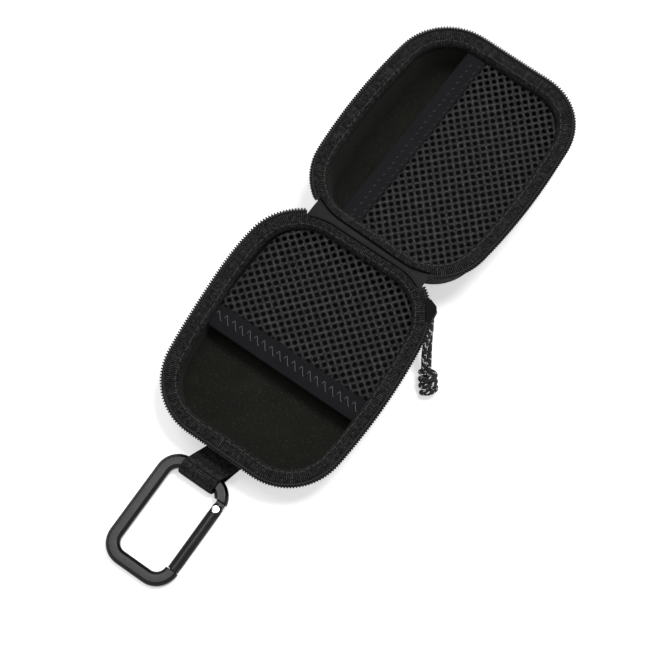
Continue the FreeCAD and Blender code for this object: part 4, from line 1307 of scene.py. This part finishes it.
# %% Metal pieces
metal_pieces = {
    "zip_slider": (slider_metal, 0.18 * MM),
    "carabiner_frame": (clip_metal, 0.22 * MM),
    "carabiner_gate": (clip_metal, 0.15 * MM),
    "gate_rivet": (rivet_steel, 0.14 * MM),
    "gate_spring": (spring_steel, 0.0),
    "gate_plunger": (spring_steel, 0.08 * MM),
}
for node, (metal, edge) in metal_pieces.items():
    piece = frame["nodes"][node]
    piece.data.materials.clear()
    piece.data.materials.append(metal)
    weld = piece.modifiers.new("weld", "WELD")
    weld.merge_threshold = 0.005 * MM
    if edge:
        bevel = piece.modifiers.new("bevel", "BEVEL")
        bevel.width = edge
        bevel.segments = 2
        bevel.limit_method = "ANGLE"
        bevel.angle_limit = math.radians(28)
        even = piece.modifiers.new("flat faces", "WEIGHTED_NORMAL")
        even.mode = "FACE_AREA"
        even.weight = 80
    print(node, "faces", len(piece.data.polygons))

# %% [markdown]
# ## Stage and light
# The photograph is a white studio picture with soft shadows that fall to the lower left, so the
# key light stands high on the right. A weaker light on the left is placed where the carabiner's
# flat top mirrors it. The floor is white and takes the shadows. A little light of its own, seen
# by the camera, in metal and through glass, brings its open parts to full white.

# %% Floor
def seen_directly(tree):
    """1 for rays from the camera, from a mirror or through glass, and 0 for rays that only light."""
    rays = tree.nodes.new("ShaderNodeLightPath")
    seen = calc(tree, "MAXIMUM", rays.outputs["Is Camera Ray"], rays.outputs["Is Transmission Ray"])
    return calc(tree, "MAXIMUM", seen, rays.outputs["Is Glossy Ray"])


floor_reach = 4.0
floor_glow = 0.55
floor_corners = [(-1, -1), (1, -1), (1, 1), (-1, 1)]
floor_mesh = bpy.data.meshes.new("floor")
floor_mesh.from_pydata([(floor_reach * x, floor_reach * y, 0) for x, y in floor_corners], [], [(0, 1, 2, 3)])
floor = bpy.data.objects.new("floor", floor_mesh)
bpy.context.scene.collection.objects.link(floor)
floor_paint = bpy.data.materials.new("white_floor")
floor_paint.use_nodes = True
tree = floor_paint.node_tree
shader = tree.nodes["Principled BSDF"]
shader.inputs["Base Color"].default_value = (0.93, 0.93, 0.93, 1)
shader.inputs["Roughness"].default_value = 1.0
shader.inputs["Specular IOR Level"].default_value = 0.0
shader.inputs["Emission Color"].default_value = (1, 1, 1, 1)
tree.links.new(calc(tree, "MULTIPLY", seen_directly(tree), floor_glow), shader.inputs["Emission Strength"])
floor_mesh.materials.append(floor_paint)
floor.location.z = -0.1 * MM
print("floor reaches m", floor_reach)

# %% Room and lights
room_light = 0.34
world = bpy.data.worlds.new("white_room")
bpy.context.scene.world = world
world.use_nodes = True
tree = world.node_tree
sky = tree.nodes["Background"]
sky.inputs["Color"].default_value = (1, 1, 1, 1)
extra = calc(tree, "MULTIPLY", seen_directly(tree), 1 - room_light)
tree.links.new(calc(tree, "ADD", extra, room_light), sky.inputs["Strength"])

picture_right = Vector((math.cos(view_azimuth), math.sin(view_azimuth), 0))
picture_up = Vector((-math.sin(view_azimuth), math.cos(view_azimuth), 0))
light_height = Vector((0, 0, 1.0))


def soft_light(name, right, up, size, watts):
    """Round area light over the case, moved to the picture's right and up, and turned to the case."""
    lamp = bpy.data.lights.new(name, "AREA")
    lamp.shape = "DISK"
    lamp.size = size
    lamp.energy = watts
    light = bpy.data.objects.new(name, lamp)
    light.location = view_target + picture_right * right + picture_up * up + light_height
    light.rotation_mode = "QUATERNION"
    light.rotation_quaternion = (light.location - view_target).to_track_quat("Z", "Y")
    bpy.context.scene.collection.objects.link(light)
    print(name, "watts", watts)


soft_light("key_light", 0.24, 0.12, 0.30, 6.6)
soft_light("top_light", -0.21, 0.07, 0.26, 1.3)
bpy.context.scene.view_settings.view_transform = "Standard"
